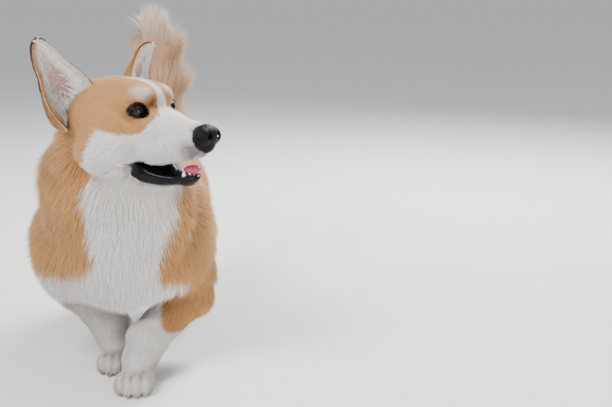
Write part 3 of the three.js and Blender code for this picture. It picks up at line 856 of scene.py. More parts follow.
    def lies(self, p: Array, q: Array) -> dict[str, Array]:
        """Finds the way the fur lies in each region.

        Args:
            p: places in the dog's frame, in millimetres.
            q: places in the head's own frame, in millimetres.

        Returns:
            A direction for each place, by the region's name.
        """
        u, w = q[..., 0], q[..., 2]
        back = unit(q - np.array([74.0, 0.0, -22.0])) + np.array([-0.6, 0, 0])
        drop = smoothstep(-w, 18, 50) * smoothstep(-u, -30, 20)
        back = back + drop[:, None] * np.array([-0.15, 0.0, -0.75])
        head = self.anatomy.pose.turn(unit(back))
        away = unit(p - np.array([6.0, -186.0, 330.0]))
        front = smoothstep(-p[:, 1], 120, 170)
        neck = away + np.stack([0 * front, 0.55 - 0.55 * front, -0.35 - 0.65 * front], -1)
        side = smoothstep(np.abs(p[:, 0] + 8), 10, 70)
        chest = smoothstep(-p[:, 1], 110, 165)
        trunk = np.stack([0 * side, 1 - 0.95 * chest, -0.25 * side - 0.2 - 1.0 * chest], -1)
        haunch = smoothstep(p[:, 1], 90, 165)
        trunk = trunk + haunch[:, None] * np.array([0.0, -0.25, -0.75])
        lies = {"head": head, "neck": unit(neck), "trunk": unit(trunk)}
        at = np.argmin(np.linalg.norm(p[:, None] - TAIL_LINE[None], axis=-1), axis=1)
        tangent = unit(np.gradient(TAIL_LINE, axis=0))[at]
        outward = unit(p - TAIL_LINE[at])
        lies["tail"] = unit(tangent + 0.45 * outward)
        for name, leg in LEGS.items():
            joints = np.array(leg.joints, float)
            middle = (joints[1:] + joints[:-1]) / 2
            near = np.argmin(np.linalg.norm(p[:, None] - middle[None], axis=-1), axis=1)
            along = unit(joints[1:] - joints[:-1])[near]
            ahead = turn_z(leg.heading) @ np.array([0, -1.0, -0.35])
            toes = smoothstep(-p[:, 2], -34, -20)[:, None] * ahead
            lies[name] = unit(along + np.array([0, 0.12, -0.3]) + 1.6 * toes)
        return lies

    def lengths(self, p: Array, q: Array, normal: Array) -> dict[str, Array]:
        """Finds the length of the fur in each region.

        Args:
            p: places in the dog's frame, in millimetres.
            q: places in the head's own frame, in millimetres.
            normal: the skin's outward direction at each place.

        Returns:
            A length in millimetres for each place, by the region's name.
        """
        u, w, a = q[..., 0], q[..., 2], np.abs(q[..., 1])
        head = 10.5 - 5.0 * smoothstep(u, -8, 14)
        head = head + 12 * smoothstep(-w, 14, 44) * smoothstep(-u, -16, 22) + 16 * smoothstep(-u, 42, 70)
        head = head - 3.0 * smoothstep(-np.hypot(u + 3, a - 26), -24, -12) * smoothstep(18 - np.abs(w), 0, 8)
        lips = (1 - smoothstep(np.abs(w + 66), 14, 26)) * smoothstep(u, -30, -16)
        head = head * (1 - 0.6 * lips)
        rear, chest = smoothstep(p[:, 1], 130, 175), smoothstep(-p[:, 1], 110, 160)
        lengths = {
            "head": head,
            "neck": 31 + 8 * smoothstep(-p[:, 2], -270, -200),
            "trunk": 22 + 12 * rear + 8 * smoothstep(-p[:, 2], -120, -90) + 12 * chest,
            "tail": np.full(len(p), 54.0),
        }
        for name in LEGS:
            behind = smoothstep(normal[:, 1], 0.1, 0.8) * smoothstep(p[:, 2], 34, 56)
            high = smoothstep(p[:, 2], 40, 110)
            lengths[name] = 7 + 16 * high + 14 * behind - 3 * smoothstep(-p[:, 2], -36, -22)
        return lengths

    def at(self, p: Array, normal: Array) -> Root:
        """Works out everything about the coat at places on the skin.

        Args:
            p: places in the dog's frame, in millimetres.
            normal: the skin's outward direction at each place.

        Returns:
            The coat's rows for them.
        """
        q = self.anatomy.pose.local(p)
        part = self.regions(p)
        white = part["head"] * self.face_white(q) + (part["neck"] + part["trunk"]) * self.body_white(p)
        throat = smoothstep(-q[:, 2], 50, 64) * smoothstep(q[:, 0], -52, -42)
        white = np.maximum(white, throat * part["head"])
        for name in LEGS:
            white = white + part[name] * self.leg_white(p, name)
        lie = sum(part[name][:, None] * d for name, d in self.lies(p, q).items())
        lie = lie - (lie * normal).sum(-1, keepdims=True) * normal
        length = sum(part[name] * d for name, d in self.lengths(p, q, normal).items())
        dark = self.lips(q) * smoothstep(part["head"], 0.2, 0.5)
        sole = smoothstep(-p[:, 2], -4, -2)
        inside = smoothstep(-self.anatomy.mouth(q), -2.5, -1.0)
        bare = np.max([smoothstep(dark, 0.55, 0.7), sole, inside], axis=0)
        width = np.clip(0.55 + 0.022 * length, 0.65, 1.35)
        density = np.clip(2.6 / (width * np.sqrt(length)), 0.1, 1.6)
        density = density * (1 + 0.9 * smoothstep(part["head"], 0.3, 0.7) + 1.6 * part["tail"])
        density = density * (1 - 0.45 * smoothstep(p[:, 1], -60, 20) * (1 - part["tail"]))
        fade = part["tail"] * (0.22 + 0.55 * smoothstep(p[:, 2], 335, 390))
        fade = np.clip(fade + 0.35 * part["trunk"] * smoothstep(p[:, 1], 130, 180), 0, 1)
        clump = smoothstep(length, 8, 30)
        return Root(np.clip(1 - white, 0, 1), dark, bare, unit(lie), length, width, density, clump, fade)


@dataclass(frozen=True)
class Growth:
    """Where tufts root and how each one grows, with one row for each tuft.

    Root, normal and lie are in the dog's frame; root, length and width are in millimetres, and lift, the
    rise off the skin, is in radians. Marks are tan and dark, and uv is the root's place on the skin's
    unwrap. Clump says how strongly tips draw together, and fade how much they turn cream.
    """

    root: Array
    normal: Array
    lie: Array
    length: Array
    width: Array
    lift: Array
    marks: Array
    uv: Array
    clump: Array
    fade: Array


@dataclass
class Tufts:
    """Solid tufts of fur rooted on a surface, split into pieces that each stay under the most triangles.

    A tuft is a flat spike: one or two rings of three corners and a tip. Broad and flat are the reach of its
    corners, as shares of its width.
    """

    name: str
    anatomy: Anatomy
    rings: int = 1
    most: int = 185_000
    broad: float = 0.55
    flat: float = 0.16
    twist: float = 0.14
    sunk: float = 0.8
    patch: float = 0.0015
    leads: int = 9

    SHARES = {1: (0.0,), 2: (0.0, 0.5)}
    WIDTHS = {1: (1.15,), 2: (0.8, 0.85)}

    def faces(self) -> Array:
        """Lists the triangles of one tuft.

        Returns:
            The vertex numbers of each triangle: the root's cap, the sides and the tip.
        """
        faces = [[0, 2, 1]]
        for ring in range(self.rings - 1):
            for corner in range(3):
                a, b = 3 * ring + corner, 3 * ring + (corner + 1) % 3
                faces += [[a, b, b + 3], [a, b + 3, a + 3]]
        last = 3 * (self.rings - 1)
        faces += [[last + c, last + (c + 1) % 3, last + 3] for c in range(3)]
        return np.array(faces)

    def build(self, growth: Growth, material: bpy.types.Material) -> list[bpy.types.Object]:
        """Makes the tufts and dresses them.

        Args:
            growth: where the tufts root and how they grow.
            material: the fur's finish.

        Returns:
            The pieces.
        """
        g = growth
        n = len(g.root)
        length = g.length[:, None]
        across = unit(np.cross(g.lie, g.normal) + self.twist * RNG.normal(size=(n, 3)))
        tip = g.root + length * (np.cos(g.lift)[:, None] * g.lie + np.sin(g.lift)[:, None] * g.normal)
        chord = self.gather(g.root, tip, g.clump) - g.root
        chord = chord / np.linalg.norm(chord, axis=-1, keepdims=True) * length
        bulge = g.normal * (0.10 + 0.10 * RNG.random((n, 1))) * length * np.cos(g.lift)[:, None]
        tone = np.clip(0.6 + 0.27 * RNG.normal(size=n), 0, 1)
        over = unit(np.cross(chord, across))
        points, colours, places, normals = [], [], [], []
        for share, wide in zip(self.SHARES[self.rings], self.WIDTHS[self.rings]):
            middle = g.root + share * chord + 4 * share * (1 - share) * bulge
            if share == 0:
                middle = middle - self.sunk * g.normal
            colour = [g.marks[:, 0] * (1 - g.fade * share), tone, np.full(n, share), g.marks[:, 1]]
            for corner in range(3):
                angle = 2 * math.pi * corner / 3
                offset = math.cos(angle) * across * self.broad + math.sin(angle) * over * self.flat
                points.append(middle + offset * (g.width * wide)[:, None])
                around = math.cos(angle) * across + 1.1 * math.sin(angle) * over
                normals.append(0.9 * g.normal + 0.85 * around)
                colours.append(np.stack(colour, -1))
                places.append(g.uv + self.patch * np.array([math.cos(angle), 2 * share - 1]))
        points.append(g.root + chord)
        normals.append(g.normal + 0.25 * g.lie)
        colours.append(np.stack([g.marks[:, 0] * (1 - g.fade), tone, np.ones(n), g.marks[:, 1]], -1))
        places.append(g.uv + np.array([0.0, self.patch]))
        faces = self.faces()
        pieces = []
        order = np.argsort(g.root[:, 0] + 0.3 * g.root[:, 1])
        for k, some in enumerate(np.array_split(order, max(1, math.ceil(n * len(faces) / self.most)))):
            vertices = np.stack([x[some] for x in points], 1).reshape(-1, 3)
            vertices[:, 2] = np.maximum(vertices[:, 2], FLOOR_GAP)
            index = (np.arange(len(some))[:, None, None] * len(points) + faces[None]).reshape(-1, 3)
            piece = new_mesh(f"{self.name}_{k + 1}", self.anatomy.place(vertices), index)
            paint(piece, "Marks", np.stack([x[some] for x in colours], 1).reshape(-1, 4))
            soften(piece, unit(np.stack([x[some] for x in normals], 1).reshape(-1, 3)))
            map_uv(piece, np.stack([x[some] for x in places], 1).reshape(-1, 2))
            piece.data.materials.append(material)
            pieces.append(finish_piece(piece, "tan_coat"))
        return pieces

    def gather(self, root: Array, tip: Array, clump: Array) -> Array:
        """Draws each tip towards the tip of the nearest lead tuft.

        Args:
            root: where each tuft grows, in millimetres.
            tip: where each tuft would end.
            clump: how strongly it is drawn, from 0 to 1.

        Returns:
            The new tips.
        """
        leads = RNG.choice(len(root), max(1, len(root) // self.leads), replace=False)
        tree = KDTree(len(leads))
        for k, lead in enumerate(leads):
            tree.insert(root[lead], k)
        tree.balance()
        nearest = leads[[tree.find(p)[1] for p in root]]
        pull = clump * (0.1 + 0.25 * RNG.random(len(root)))
        return tip + pull[:, None] * (tip[nearest] - tip) * 0.9


# Finishes
class Value:
    """A number inside a material, so that shader maths reads like ordinary maths."""

    def __init__(self, shade: "Shade", socket: bpy.types.NodeSocket) -> None:
        """Keeps the material and the socket that gives the number."""
        self.shade = shade
        self.socket = socket

    def __add__(self, other: "Value | float") -> "Value":
        """Returns the sum."""
        return self.shade.math("ADD", self, other)

    def __radd__(self, other: float) -> "Value":
        """Returns the sum."""
        return self.shade.math("ADD", other, self)

    def __mul__(self, other: "Value | float") -> "Value":
        """Returns the product."""
        return self.shade.math("MULTIPLY", self, other)

    def __rmul__(self, other: float) -> "Value":
        """Returns the product."""
        return self.shade.math("MULTIPLY", other, self)

    def __sub__(self, other: "Value | float") -> "Value":
        """Returns the difference."""
        return self.shade.math("SUBTRACT", self, other)

    def __rsub__(self, other: float) -> "Value":
        """Returns the difference from a plain number."""
        return self.shade.math("SUBTRACT", other, self)


class Shade:
    """Builds one node material."""

    def __init__(
        self, name: str, roughness: float, coat: float = 0.0, sheen: float = 0.0, specular: float = 0.5
    ) -> None:
        """Starts a material and sets what is the same all over it.

        Args:
            name: the material's name.
            roughness: how dull it is, from 0 to 1.
            coat: the weight of a clear wet layer.
            sheen: the weight of a soft glow at its edges.
            specular: the strength of its reflection, 0.5 being usual.
        """
        self.material = bpy.data.materials.new(name)
        self.material.use_nodes = True
        self.tree = self.material.node_tree
        self.shader = self.tree.nodes["Principled BSDF"]
        constants = {
            "Roughness": roughness,
            "Coat Weight": coat,
            "Coat Roughness": WET_ROUGHNESS,
            "Sheen Weight": sheen,
            "Specular IOR Level": specular,
        }
        for socket, value in constants.items():
            self.shader.inputs[socket].default_value = value

    def node(self, kind: str, settings: dict | None = None, **inputs: object) -> bpy.types.Node:
        """Adds a node.

        Args:
            kind: the node's type.
            settings: its properties, which are set first.
            inputs: the value or link of each socket, by name with underscores for spaces.

        Returns:
            The new node.
        """
        node = self.tree.nodes.new(kind)
        for key, value in (settings or {}).items():
            setattr(node, key, value)
        for key, value in inputs.items():
            self.feed(node.inputs[key.replace("_", " ")], value)
        return node

    def feed(self, socket: bpy.types.NodeSocket, value: object) -> None:
        """Links a socket to a value, or sets it.

        Args:
            socket: the socket that takes it.
            value: a Value or a socket to link, or what to set.
        """
        if isinstance(value, Value):
            value = value.socket
        if isinstance(value, bpy.types.NodeSocket):
            self.tree.links.new(value, socket)
        else:
            socket.default_value = value

    def math(self, operation: str, a: Value | float, b: Value | float) -> Value:
        """Adds one step of maths.

        Args:
            operation: the Math node's operation.
            a: the first number.
            b: the second number.

        Returns:
            The outcome.
        """
        node = self.node("ShaderNodeMath", {"operation": operation})
        self.feed(node.inputs[0], a)
        self.feed(node.inputs[1], b)
        return Value(self, node.outputs[0])

    def marks(self) -> tuple[Value, Value, Value, Value]:
        """Reads the marks stored on the mesh.

        Returns:
            The tan, the tone, the place from root to tip and the dark, each from 0 to 1.
        """
        attribute = self.node("ShaderNodeAttribute", {"attribute_name": "Marks"})
        parts = self.node("ShaderNodeSeparateColor", Color=attribute.outputs["Color"])
        return (*(Value(self, parts.outputs[i]) for i in range(3)), Value(self, attribute.outputs["Alpha"]))

    def noise(self, scale: float, detail: float = 3.0) -> Value:
        """Adds noise over the object's own coordinates.

        Args:
            scale: how fine it is, per metre.
            detail: how many finer layers it has.

        Returns:
            The noise, from 0 to 1.
        """
        place = self.node("ShaderNodeTexCoord").outputs["Object"]
        node = self.node("ShaderNodeTexNoise", Vector=place, Scale=scale, Detail=detail)
        return Value(self, node.outputs["Fac"])

    def mix(self, share: Value | float, a: object, b: object, mode: str = "MIX") -> bpy.types.NodeSocket:
        """Mixes two colours.

        Args:
            share: how much of the second is taken.
            a: the first colour, or the socket that gives it.
            b: the second one.
            mode: the way they are mixed.

        Returns:
            The socket that gives the mixed colour.
        """
        node = self.node("ShaderNodeMix", {"data_type": "RGBA", "blend_type": mode})
        for socket, value in ((node.inputs[0], share), (node.inputs[6], a), (node.inputs[7], b)):
            self.feed(socket, (*value, 1.0) if isinstance(value, tuple) else value)
        return node.outputs[2]

    def colour(self, value: bpy.types.NodeSocket) -> None:
        """Feeds the base colour."""
        self.feed(self.shader.inputs["Base Color"], value)

    def bump(self, height: Value, depth: float, strength: float = 1.0) -> None:
        """Adds relief.

        Args:
            height: where it rises, from 0 to 1.
            depth: how high that is, in metres.
            strength: how much of it is used.
        """
        node = self.node("ShaderNodeBump", Height=height, Distance=depth, Strength=strength)
        self.feed(self.shader.inputs["Normal"], node.outputs["Normal"])


@dataclass(frozen=True)
class FurColours:
    """The fur's colours at the root and at the tip, its darker patches, and the black of bare skin."""

    # each root colour is darker than its tip's: painted shade deep in the coat
    white_root: Colour = (0.66, 0.60, 0.54)
    white_tip: Colour = (0.95, 0.93, 0.90)
    tan_root: Colour = (0.38, 0.155, 0.05)
    tan_tip: Colour = (0.78, 0.45, 0.19)
    deep_root: Colour = (0.25, 0.08, 0.02)
    deep_tip: Colour = (0.56, 0.26, 0.09)
    shadow: Colour = (0.36, 0.31, 0.28)
    black: Colour = (0.004, 0.004, 0.005)

    def material(self, name: str, flat: bool) -> bpy.types.Material:
        """Makes the fur's material.

        Args:
            name: the material's name.
            flat: whether it is the skin under the coat, with relief for its own short fur.

        Returns:
            The material.
        """
        shade = Shade(name, 0.62, sheen=0.0 if flat else 0.1, specular=0.08)
        tan, tone, along, dark = shade.marks()
        streak = shade.noise(260.0)
        # root to tip runs dark to light, painted shade deep in the coat; the skin takes the darker end,
        # streaked
        rise = streak * 0.6 if flat else along
        white = shade.mix(rise, self.white_root, self.white_tip)
        brown = shade.mix(rise, self.tan_root, self.tan_tip)
        patchy = shade.noise(28.0)
        deep = shade.mix(rise, self.deep_root, self.deep_tip)
        brown = shade.mix(shade.noise(9.0, 2.0) * tan, brown, deep)
        fur = shade.mix(tan, white, brown)
        strand = shade.mix(tone * 0.75 + patchy * 0.35, self.shadow, (1.0, 1.0, 1.0))
        fur = shade.mix(0.5, fur, strand, "MULTIPLY")
        shade.colour(shade.mix(dark, fur, self.black))
        shade.feed(shade.shader.inputs["Roughness"], 0.62 - dark * 0.36)
        shade.feed(shade.shader.inputs["Coat Weight"], dark * (0.12 if flat else 0.0))
        if flat:
            shade.bump(streak, 0.0012, 0.8)
        return shade.material


@dataclass(frozen=True)
class Leather:
    """A moist, pebbled skin, such as the nose's: its pebbles per metre and their depth in metres."""

    name: str
    colour: Colour
    roughness: float
    pebbles: float
    depth: float
    wet: float

    def material(self) -> bpy.types.Material:
        """Makes the material.

        Returns:
            The material.
        """
        shade = Shade(self.name, self.roughness, coat=self.wet, specular=0.08)
        place = shade.node("ShaderNodeTexCoord").outputs["Object"]
        cells = shade.node("ShaderNodeTexVoronoi", {"feature": "F1"}, Vector=place, Scale=self.pebbles)
        lighter = tuple(min(1.0, c * 1.6 + 0.003) for c in self.colour)
        shade.colour(shade.mix(shade.noise(self.pebbles * 0.2), self.colour, lighter))
        shade.bump(1.0 - Value(shade, cells.outputs["Distance"]), self.depth)
        return shade.material


@dataclass(frozen=True)
class Mottled:
    """A plain finish that wavers between two colours, such as a tooth's or a claw's."""

    name: str
    low: Colour
    high: Colour
    scale: float
    roughness: float
    coat: float = 0.0
    specular: float = 0.5

    def material(self) -> bpy.types.Material:
        """Makes the material.

        Returns:
            The material.
        """
        shade = Shade(self.name, self.roughness, coat=self.coat, specular=self.specular)
        shade.colour(shade.mix(shade.noise(self.scale), self.low, self.high))
        return shade.material


@dataclass(frozen=True)
class EyeFinish:
    """The eye's glossy ball: pupil, brown iris and dark white, by the angle from its gaze."""

    stops: tuple[tuple[float, Colour], ...] = (
        (0.0, (0.001, 0.001, 0.002)),
        (0.32, (0.002, 0.001, 0.001)),
        (0.42, (0.024, 0.009, 0.004)),
        (0.60, (0.014, 0.006, 0.003)),
        (0.70, (0.003, 0.002, 0.001)),
        (0.86, (0.004, 0.003, 0.003)),
    )
    flecks: Colour = (0.010, 0.004, 0.002)

    def material(self, name: str) -> bpy.types.Material:
        """Makes the material.

        Args:
            name: the material's name.

        Returns:
            The material.
        """
        shade = Shade(name, 0.05, specular=0.28)
        attribute = shade.node("ShaderNodeAttribute", {"attribute_name": "Gaze"})
        ramp = shade.node("ShaderNodeValToRGB", Fac=attribute.outputs["Fac"])
        elements = ramp.color_ramp.elements
        while len(elements) < len(self.stops):
            elements.new(0.5)
        for element, (at, colour) in zip(elements, self.stops):
            element.position, element.color = at, (*colour, 1.0)
        shade.colour(shade.mix(shade.noise(900.0) * 0.4, ramp.outputs["Color"], self.flecks))
        return shade.material


@dataclass(frozen=True)
class EarSkin:
    """The ear's skin: tan outside, pale grey inside with a mauve middle."""

    outside: Colour = (0.58, 0.28, 0.10)
    inside: Colour = (0.54, 0.47, 0.45)
    middle: Colour = (0.30, 0.14, 0.16)
    down: Colour = (0.80, 0.76, 0.72)

    def material(self, name: str) -> bpy.types.Material:
        """Makes the material.

        Args:
            name: the material's name.

        Returns:
            The material.
        """
        shade = Shade(name, 0.6)
        tan, _, pink, _ = shade.marks()
        inside = shade.mix(pink, self.inside, self.middle)
        fine = shade.noise(420.0)
        shade.colour(shade.mix(tan, shade.mix(fine * 0.35, inside, self.down), self.outside))
        shade.bump(fine, 0.0006)
        return shade.material


# Pieces of the head
def from_field(
    name: str,
    anatomy: Anatomy,
    distance: Distance,
    corners: Array,
    step: float,
    material: bpy.types.Material,
) -> bpy.types.Object:
    """Makes a smooth piece from a distance given in the dog's frame.

    Args:
        name: the piece's name.
        anatomy: the dog's shape and place.
        distance: the distance to the piece's surface.
        corners: points of the head's own frame that the piece lies between, in millimetres.
        step: the size of its facets, in millimetres.
        material: its finish.

    Returns:
        The piece.
    """
    reach = anatomy.pose.world(corners)
    low, high = reach.min(0) - 4, reach.max(0) + 4
    vertices, quads = surface_net(sample(distance, low, high, step), low, step)
    vertices = settle(distance, lambda p: slope_of(distance, p, step * 0.3), vertices, step)
    piece = new_mesh(name, anatomy.place(vertices), quads)
    piece.data.materials.append(material)
    return piece


def finish_piece(piece: bpy.types.Object, slot: str, *nodes: str) -> bpy.types.Object:
    """Ties a piece to the body and hides the nodes it stands for.

    Args:
        piece: the piece.
        slot: a material slot's name; not used.
        nodes: the solids that it takes the place of.

    Returns:
        The same piece.
    """
    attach(piece, "root")
    if nodes:
        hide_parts(*nodes)
    return piece


@dataclass
class Eyes:
    """Both eyeballs with their corneas, and the rims of the lids; sizes in millimetres."""

    anatomy: Anatomy
    rows: int = 40
    columns: int = 48
    bulge: float = 0.7
    lean: float = -9.0
    lid_steps: int = 64
    lid_sides: int = 10
    upper_lid: float = 1.5
    lower_lid: float = 1.15
    finish: EyeFinish = EyeFinish()
    rim_finish: Leather = Leather("lid_rims", (0.004, 0.003, 0.003), 0.4, 900.0, 0.0002, 0.1)

    def ball(self, side: int) -> tuple[Array, Array, Array]:
        """Shapes an eyeball with the bulge of its cornea.

        Args:
            side: 1 for the left eye and -1 for the right one.

        Returns:
            Its vertices in the dog's frame, its quads, and the angle of each vertex from the gaze.
        """
        radius = self.anatomy.eye.radius - 0.15
        turn = np.linspace(0, 2 * math.pi, self.columns, endpoint=False)
        tilt = math.pi * (np.arange(self.rows + 1) / self.rows)
        tilt[0], tilt[-1] = 0.004, math.pi - 0.004
        bulge = self.bulge * (1 - smoothstep(tilt, 0.25, 0.72))
        ring = [np.sin(tilt)[:, None] * np.cos(turn), np.sin(tilt)[:, None] * np.sin(turn)]
        ring = np.stack([*ring, np.repeat(np.cos(tilt)[:, None], self.columns, 1)], -1)
        local = ring * (radius + bulge)[:, None, None]
        lean = math.radians(self.lean)
        out = local[..., 0] * math.cos(lean) + local[..., 2] * math.sin(lean)
        ahead = -local[..., 0] * math.sin(lean) + local[..., 2] * math.cos(lean)
        local = np.stack([out, local[..., 1], ahead], -1).reshape(-1, 3)
        quads = []
        for i in range(self.rows):
            a = i * self.columns + np.arange(self.columns)
            b = i * self.columns + (np.arange(self.columns) + 1) % self.columns
            quads.append(np.stack([a, a + self.columns, b + self.columns, b], -1))
        faces = np.concatenate(quads)
        faces = faces if side > 0 else faces[:, ::-1]
        return self.anatomy.from_eye(local, side), faces, np.repeat(tilt, self.columns) / 1.2

    def rim(self, side: int) -> tuple[Array, Array]:
        """Shapes the lids' edge as a ring round the almond of the open eye.

        Args:
            side: 1 for the left eye and -1 for the right one.

        Returns:
            Its vertices in the dog's frame and its quads.
        """
        steps, sides = self.lid_steps, self.lid_sides
        angle = np.linspace(0, 2 * math.pi, steps, endpoint=False)
        e = self.anatomy.eye
        corner = np.sign(np.cos(angle)) * np.abs(np.cos(angle)) ** 0.85
        rise = np.sign(np.sin(angle)) * np.abs(np.sin(angle)) ** 1.1
        out = e.half_length * corner
        up = e.lifted + e.rise * rise + 0.08 * out - 0.012 * out**2
        out = out + e.corner
        radius = e.radius + 0.7
        ahead = np.sqrt(np.maximum(radius**2 - out**2 - up**2, 3.0))
        centre = np.stack([out, up, ahead], -1)
        tangent = unit(np.roll(centre, -1, 0) - np.roll(centre, 1, 0))
        outward = unit(centre)
        over = unit(np.cross(tangent, outward))
        thick = np.where(np.sin(angle) > 0, self.upper_lid, self.lower_lid)
        points = []
        for k in range(sides):
            turn = 2 * math.pi * k / sides
            points.append(centre + (math.cos(turn) * outward + math.sin(turn) * over) * thick[:, None])
        local = np.stack(points, 1).reshape(-1, 3)
        i = np.arange(steps)[:, None]
        j = np.arange(sides)[None]
        a, b = i * sides + j, i * sides + (j + 1) % sides
        c, d = ((i + 1) % steps) * sides + (j + 1) % sides, ((i + 1) % steps) * sides + j
        faces = np.stack([a, b, c, d], -1).reshape(-1, 4)
        return self.anatomy.from_eye(local, side), faces if side > 0 else faces[:, ::-1]

    def build(self) -> list[bpy.types.Object]:
        """Builds both eyes and their rims.

        Returns:
            The pieces.
        """
        wet = self.rim_finish.material()
        pieces = []
        for side in Side:
            name = side.name.lower()
            vertices, faces, angle = self.ball(side.value)
            ball = new_mesh(f"eyeball_{name}", self.anatomy.place(vertices), faces)
            attribute = ball.data.attributes.new("Gaze", "FLOAT", "POINT")
            attribute.data.foreach_set("value", angle.astype(np.float32))
            ball.data.materials.append(self.finish.material(f"eye_{name}_finish"))
            pieces.append(finish_piece(ball, "eye", f"eye_{name}"))
            vertices, faces = self.rim(side.value)
            rim = new_mesh(f"lids_{name}", self.anatomy.place(vertices), faces)
            rim.data.materials.append(wet)
            pieces.append(finish_piece(rim, "nose_leather"))
        return pieces


@dataclass
class Muzzle:
    """The nose leather, the tongue and the lower teeth, with the boxes of the head that hold them."""

    anatomy: Anatomy
    nose_box: tuple[Point, Point] = ((54.0, -21.0, -50.0), (88.0, 21.0, -13.0))
    mouth_box: tuple[Point, Point] = ((-6.0, -17.0, -78.0), (68.0, 17.0, -54.0))
    nose_finish: Leather = Leather("nose_finish", (0.003, 0.003, 0.004), 0.45, 650.0, 0.0004, 0.0)
    tongue_finish: Leather = Leather("tongue_finish", (0.32, 0.03, 0.09), 0.35, 1100.0, 0.0003, 0.5)
    tooth_finish: Mottled = Mottled("tooth_finish", (0.72, 0.66, 0.50), (0.88, 0.85, 0.75), 500.0, 0.25, 0.5)

    def nose(self, p: Array) -> Array:
        """Shapes the nose leather, with its nostrils and the groove between.

        Args:
            p: places in the dog's frame, in millimetres.

        Returns:
            The distance of each to it.
        """
        q = self.anatomy.pose.local(p)
        tip = ellipsoid(q, (71, 0, -28), (12.5, 16.5, 12.5))
        shape = blend(4, tip, ellipsoid(q, (70, 0, -38), (10, 10, 9)))
        for s in SIGNS:
            shape = blend(3, shape, ellipsoid(q, (73, s * 10, -29), (9, 7.5, 9)))
            shape = carve(1.2, shape, ellipsoid(q, (82.5, s * 7, -28), (6, 3.0, 3.2)))
            shape = carve(1.0, shape, capsule(q, (82, s * 8.4, -28.5), (71, s * 19, -31.5), 1.7, 1.0))
        return carve(1.0, shape, capsule(q, (84.5, 0, -27), (81, 0, -47), 0.6, 1.1))

    def tongue(self, p: Array) -> Array:
        """Shapes the tongue, which rises a little at its tip.

        Args:
            p: places in the dog's frame, in millimetres.

        Returns:
            The distance of each to it.
        """
        q = self.anatomy.pose.local(p)
        body = blend(5, ellipsoid(q, (24, 0, -79), (32, 10, 4)), ellipsoid(q, (50, 0, -65.5), (10, 10, 5)))
        return carve(2.0, body, capsule(q, (34, 0, -60), (58, 0, -59), 1.2, 0.8))

    def teeth(self, p: Array) -> Array:
        """Shapes the lower canines and the row of small teeth between.

        Args:
            p: places in the dog's frame, in millimetres.

        Returns:
            The distance of each to them.
        """
        q = self.anatomy.pose.local(p)
        parts = []
        for s in SIGNS:
            parts.append(capsule(q, (46, s * 11.0, -71), (47.0, s * 11.8, -66.2), 2.3, 0.9))
            for v in (2.2, 6.6):
                parts.append(ellipsoid(q, (53.5 - 0.06 * v * v, s * v, -67.5), (1.6, 1.9, 3.2)))
        return blend(0.6, *parts)

    @staticmethod
    def corners(box: tuple[Point, Point]) -> Array:
        """Returns the four corners of a box that show how far it reaches once the head is turned."""
        (u0, v0, w0), (u1, v1, w1) = box
        return np.array([[u0, v0, w0], [u1, v1, w1], [u0, v1, w0], [u1, v0, w1]])

    def build(self) -> list[bpy.types.Object]:
        """Builds the nose, the tongue and the teeth.

        Returns:
            The pieces.
        """
        a, nose, mouth = self.anatomy, self.corners(self.nose_box), self.corners(self.mouth_box)
        leather = from_field("nose_leather", a, self.nose, nose, 0.7, self.nose_finish.material())
        wet = from_field("tongue_wet", a, self.tongue, mouth, 1.0, self.tongue_finish.material())
        teeth = from_field("lower_teeth", a, self.teeth, mouth, 0.8, self.tooth_finish.material())
        return [
            finish_piece(leather, "nose_leather", "nose"),
            finish_piece(wet, "tongue", "tongue"),
            finish_piece(teeth, "white_coat"),
        ]


class EarFace(Enum):
    """A face of an ear, as the sign of the way inwards that it looks."""

    BACK = -1
    FRONT = 1


@dataclass
class EarSheet:
    """One ear's two faces as rows of points, with what the fur needs to know of each point."""

    side: int
    faces: dict[EarFace, Array]
    inward: Array
    pink: Array
    up: Array
    across: Array


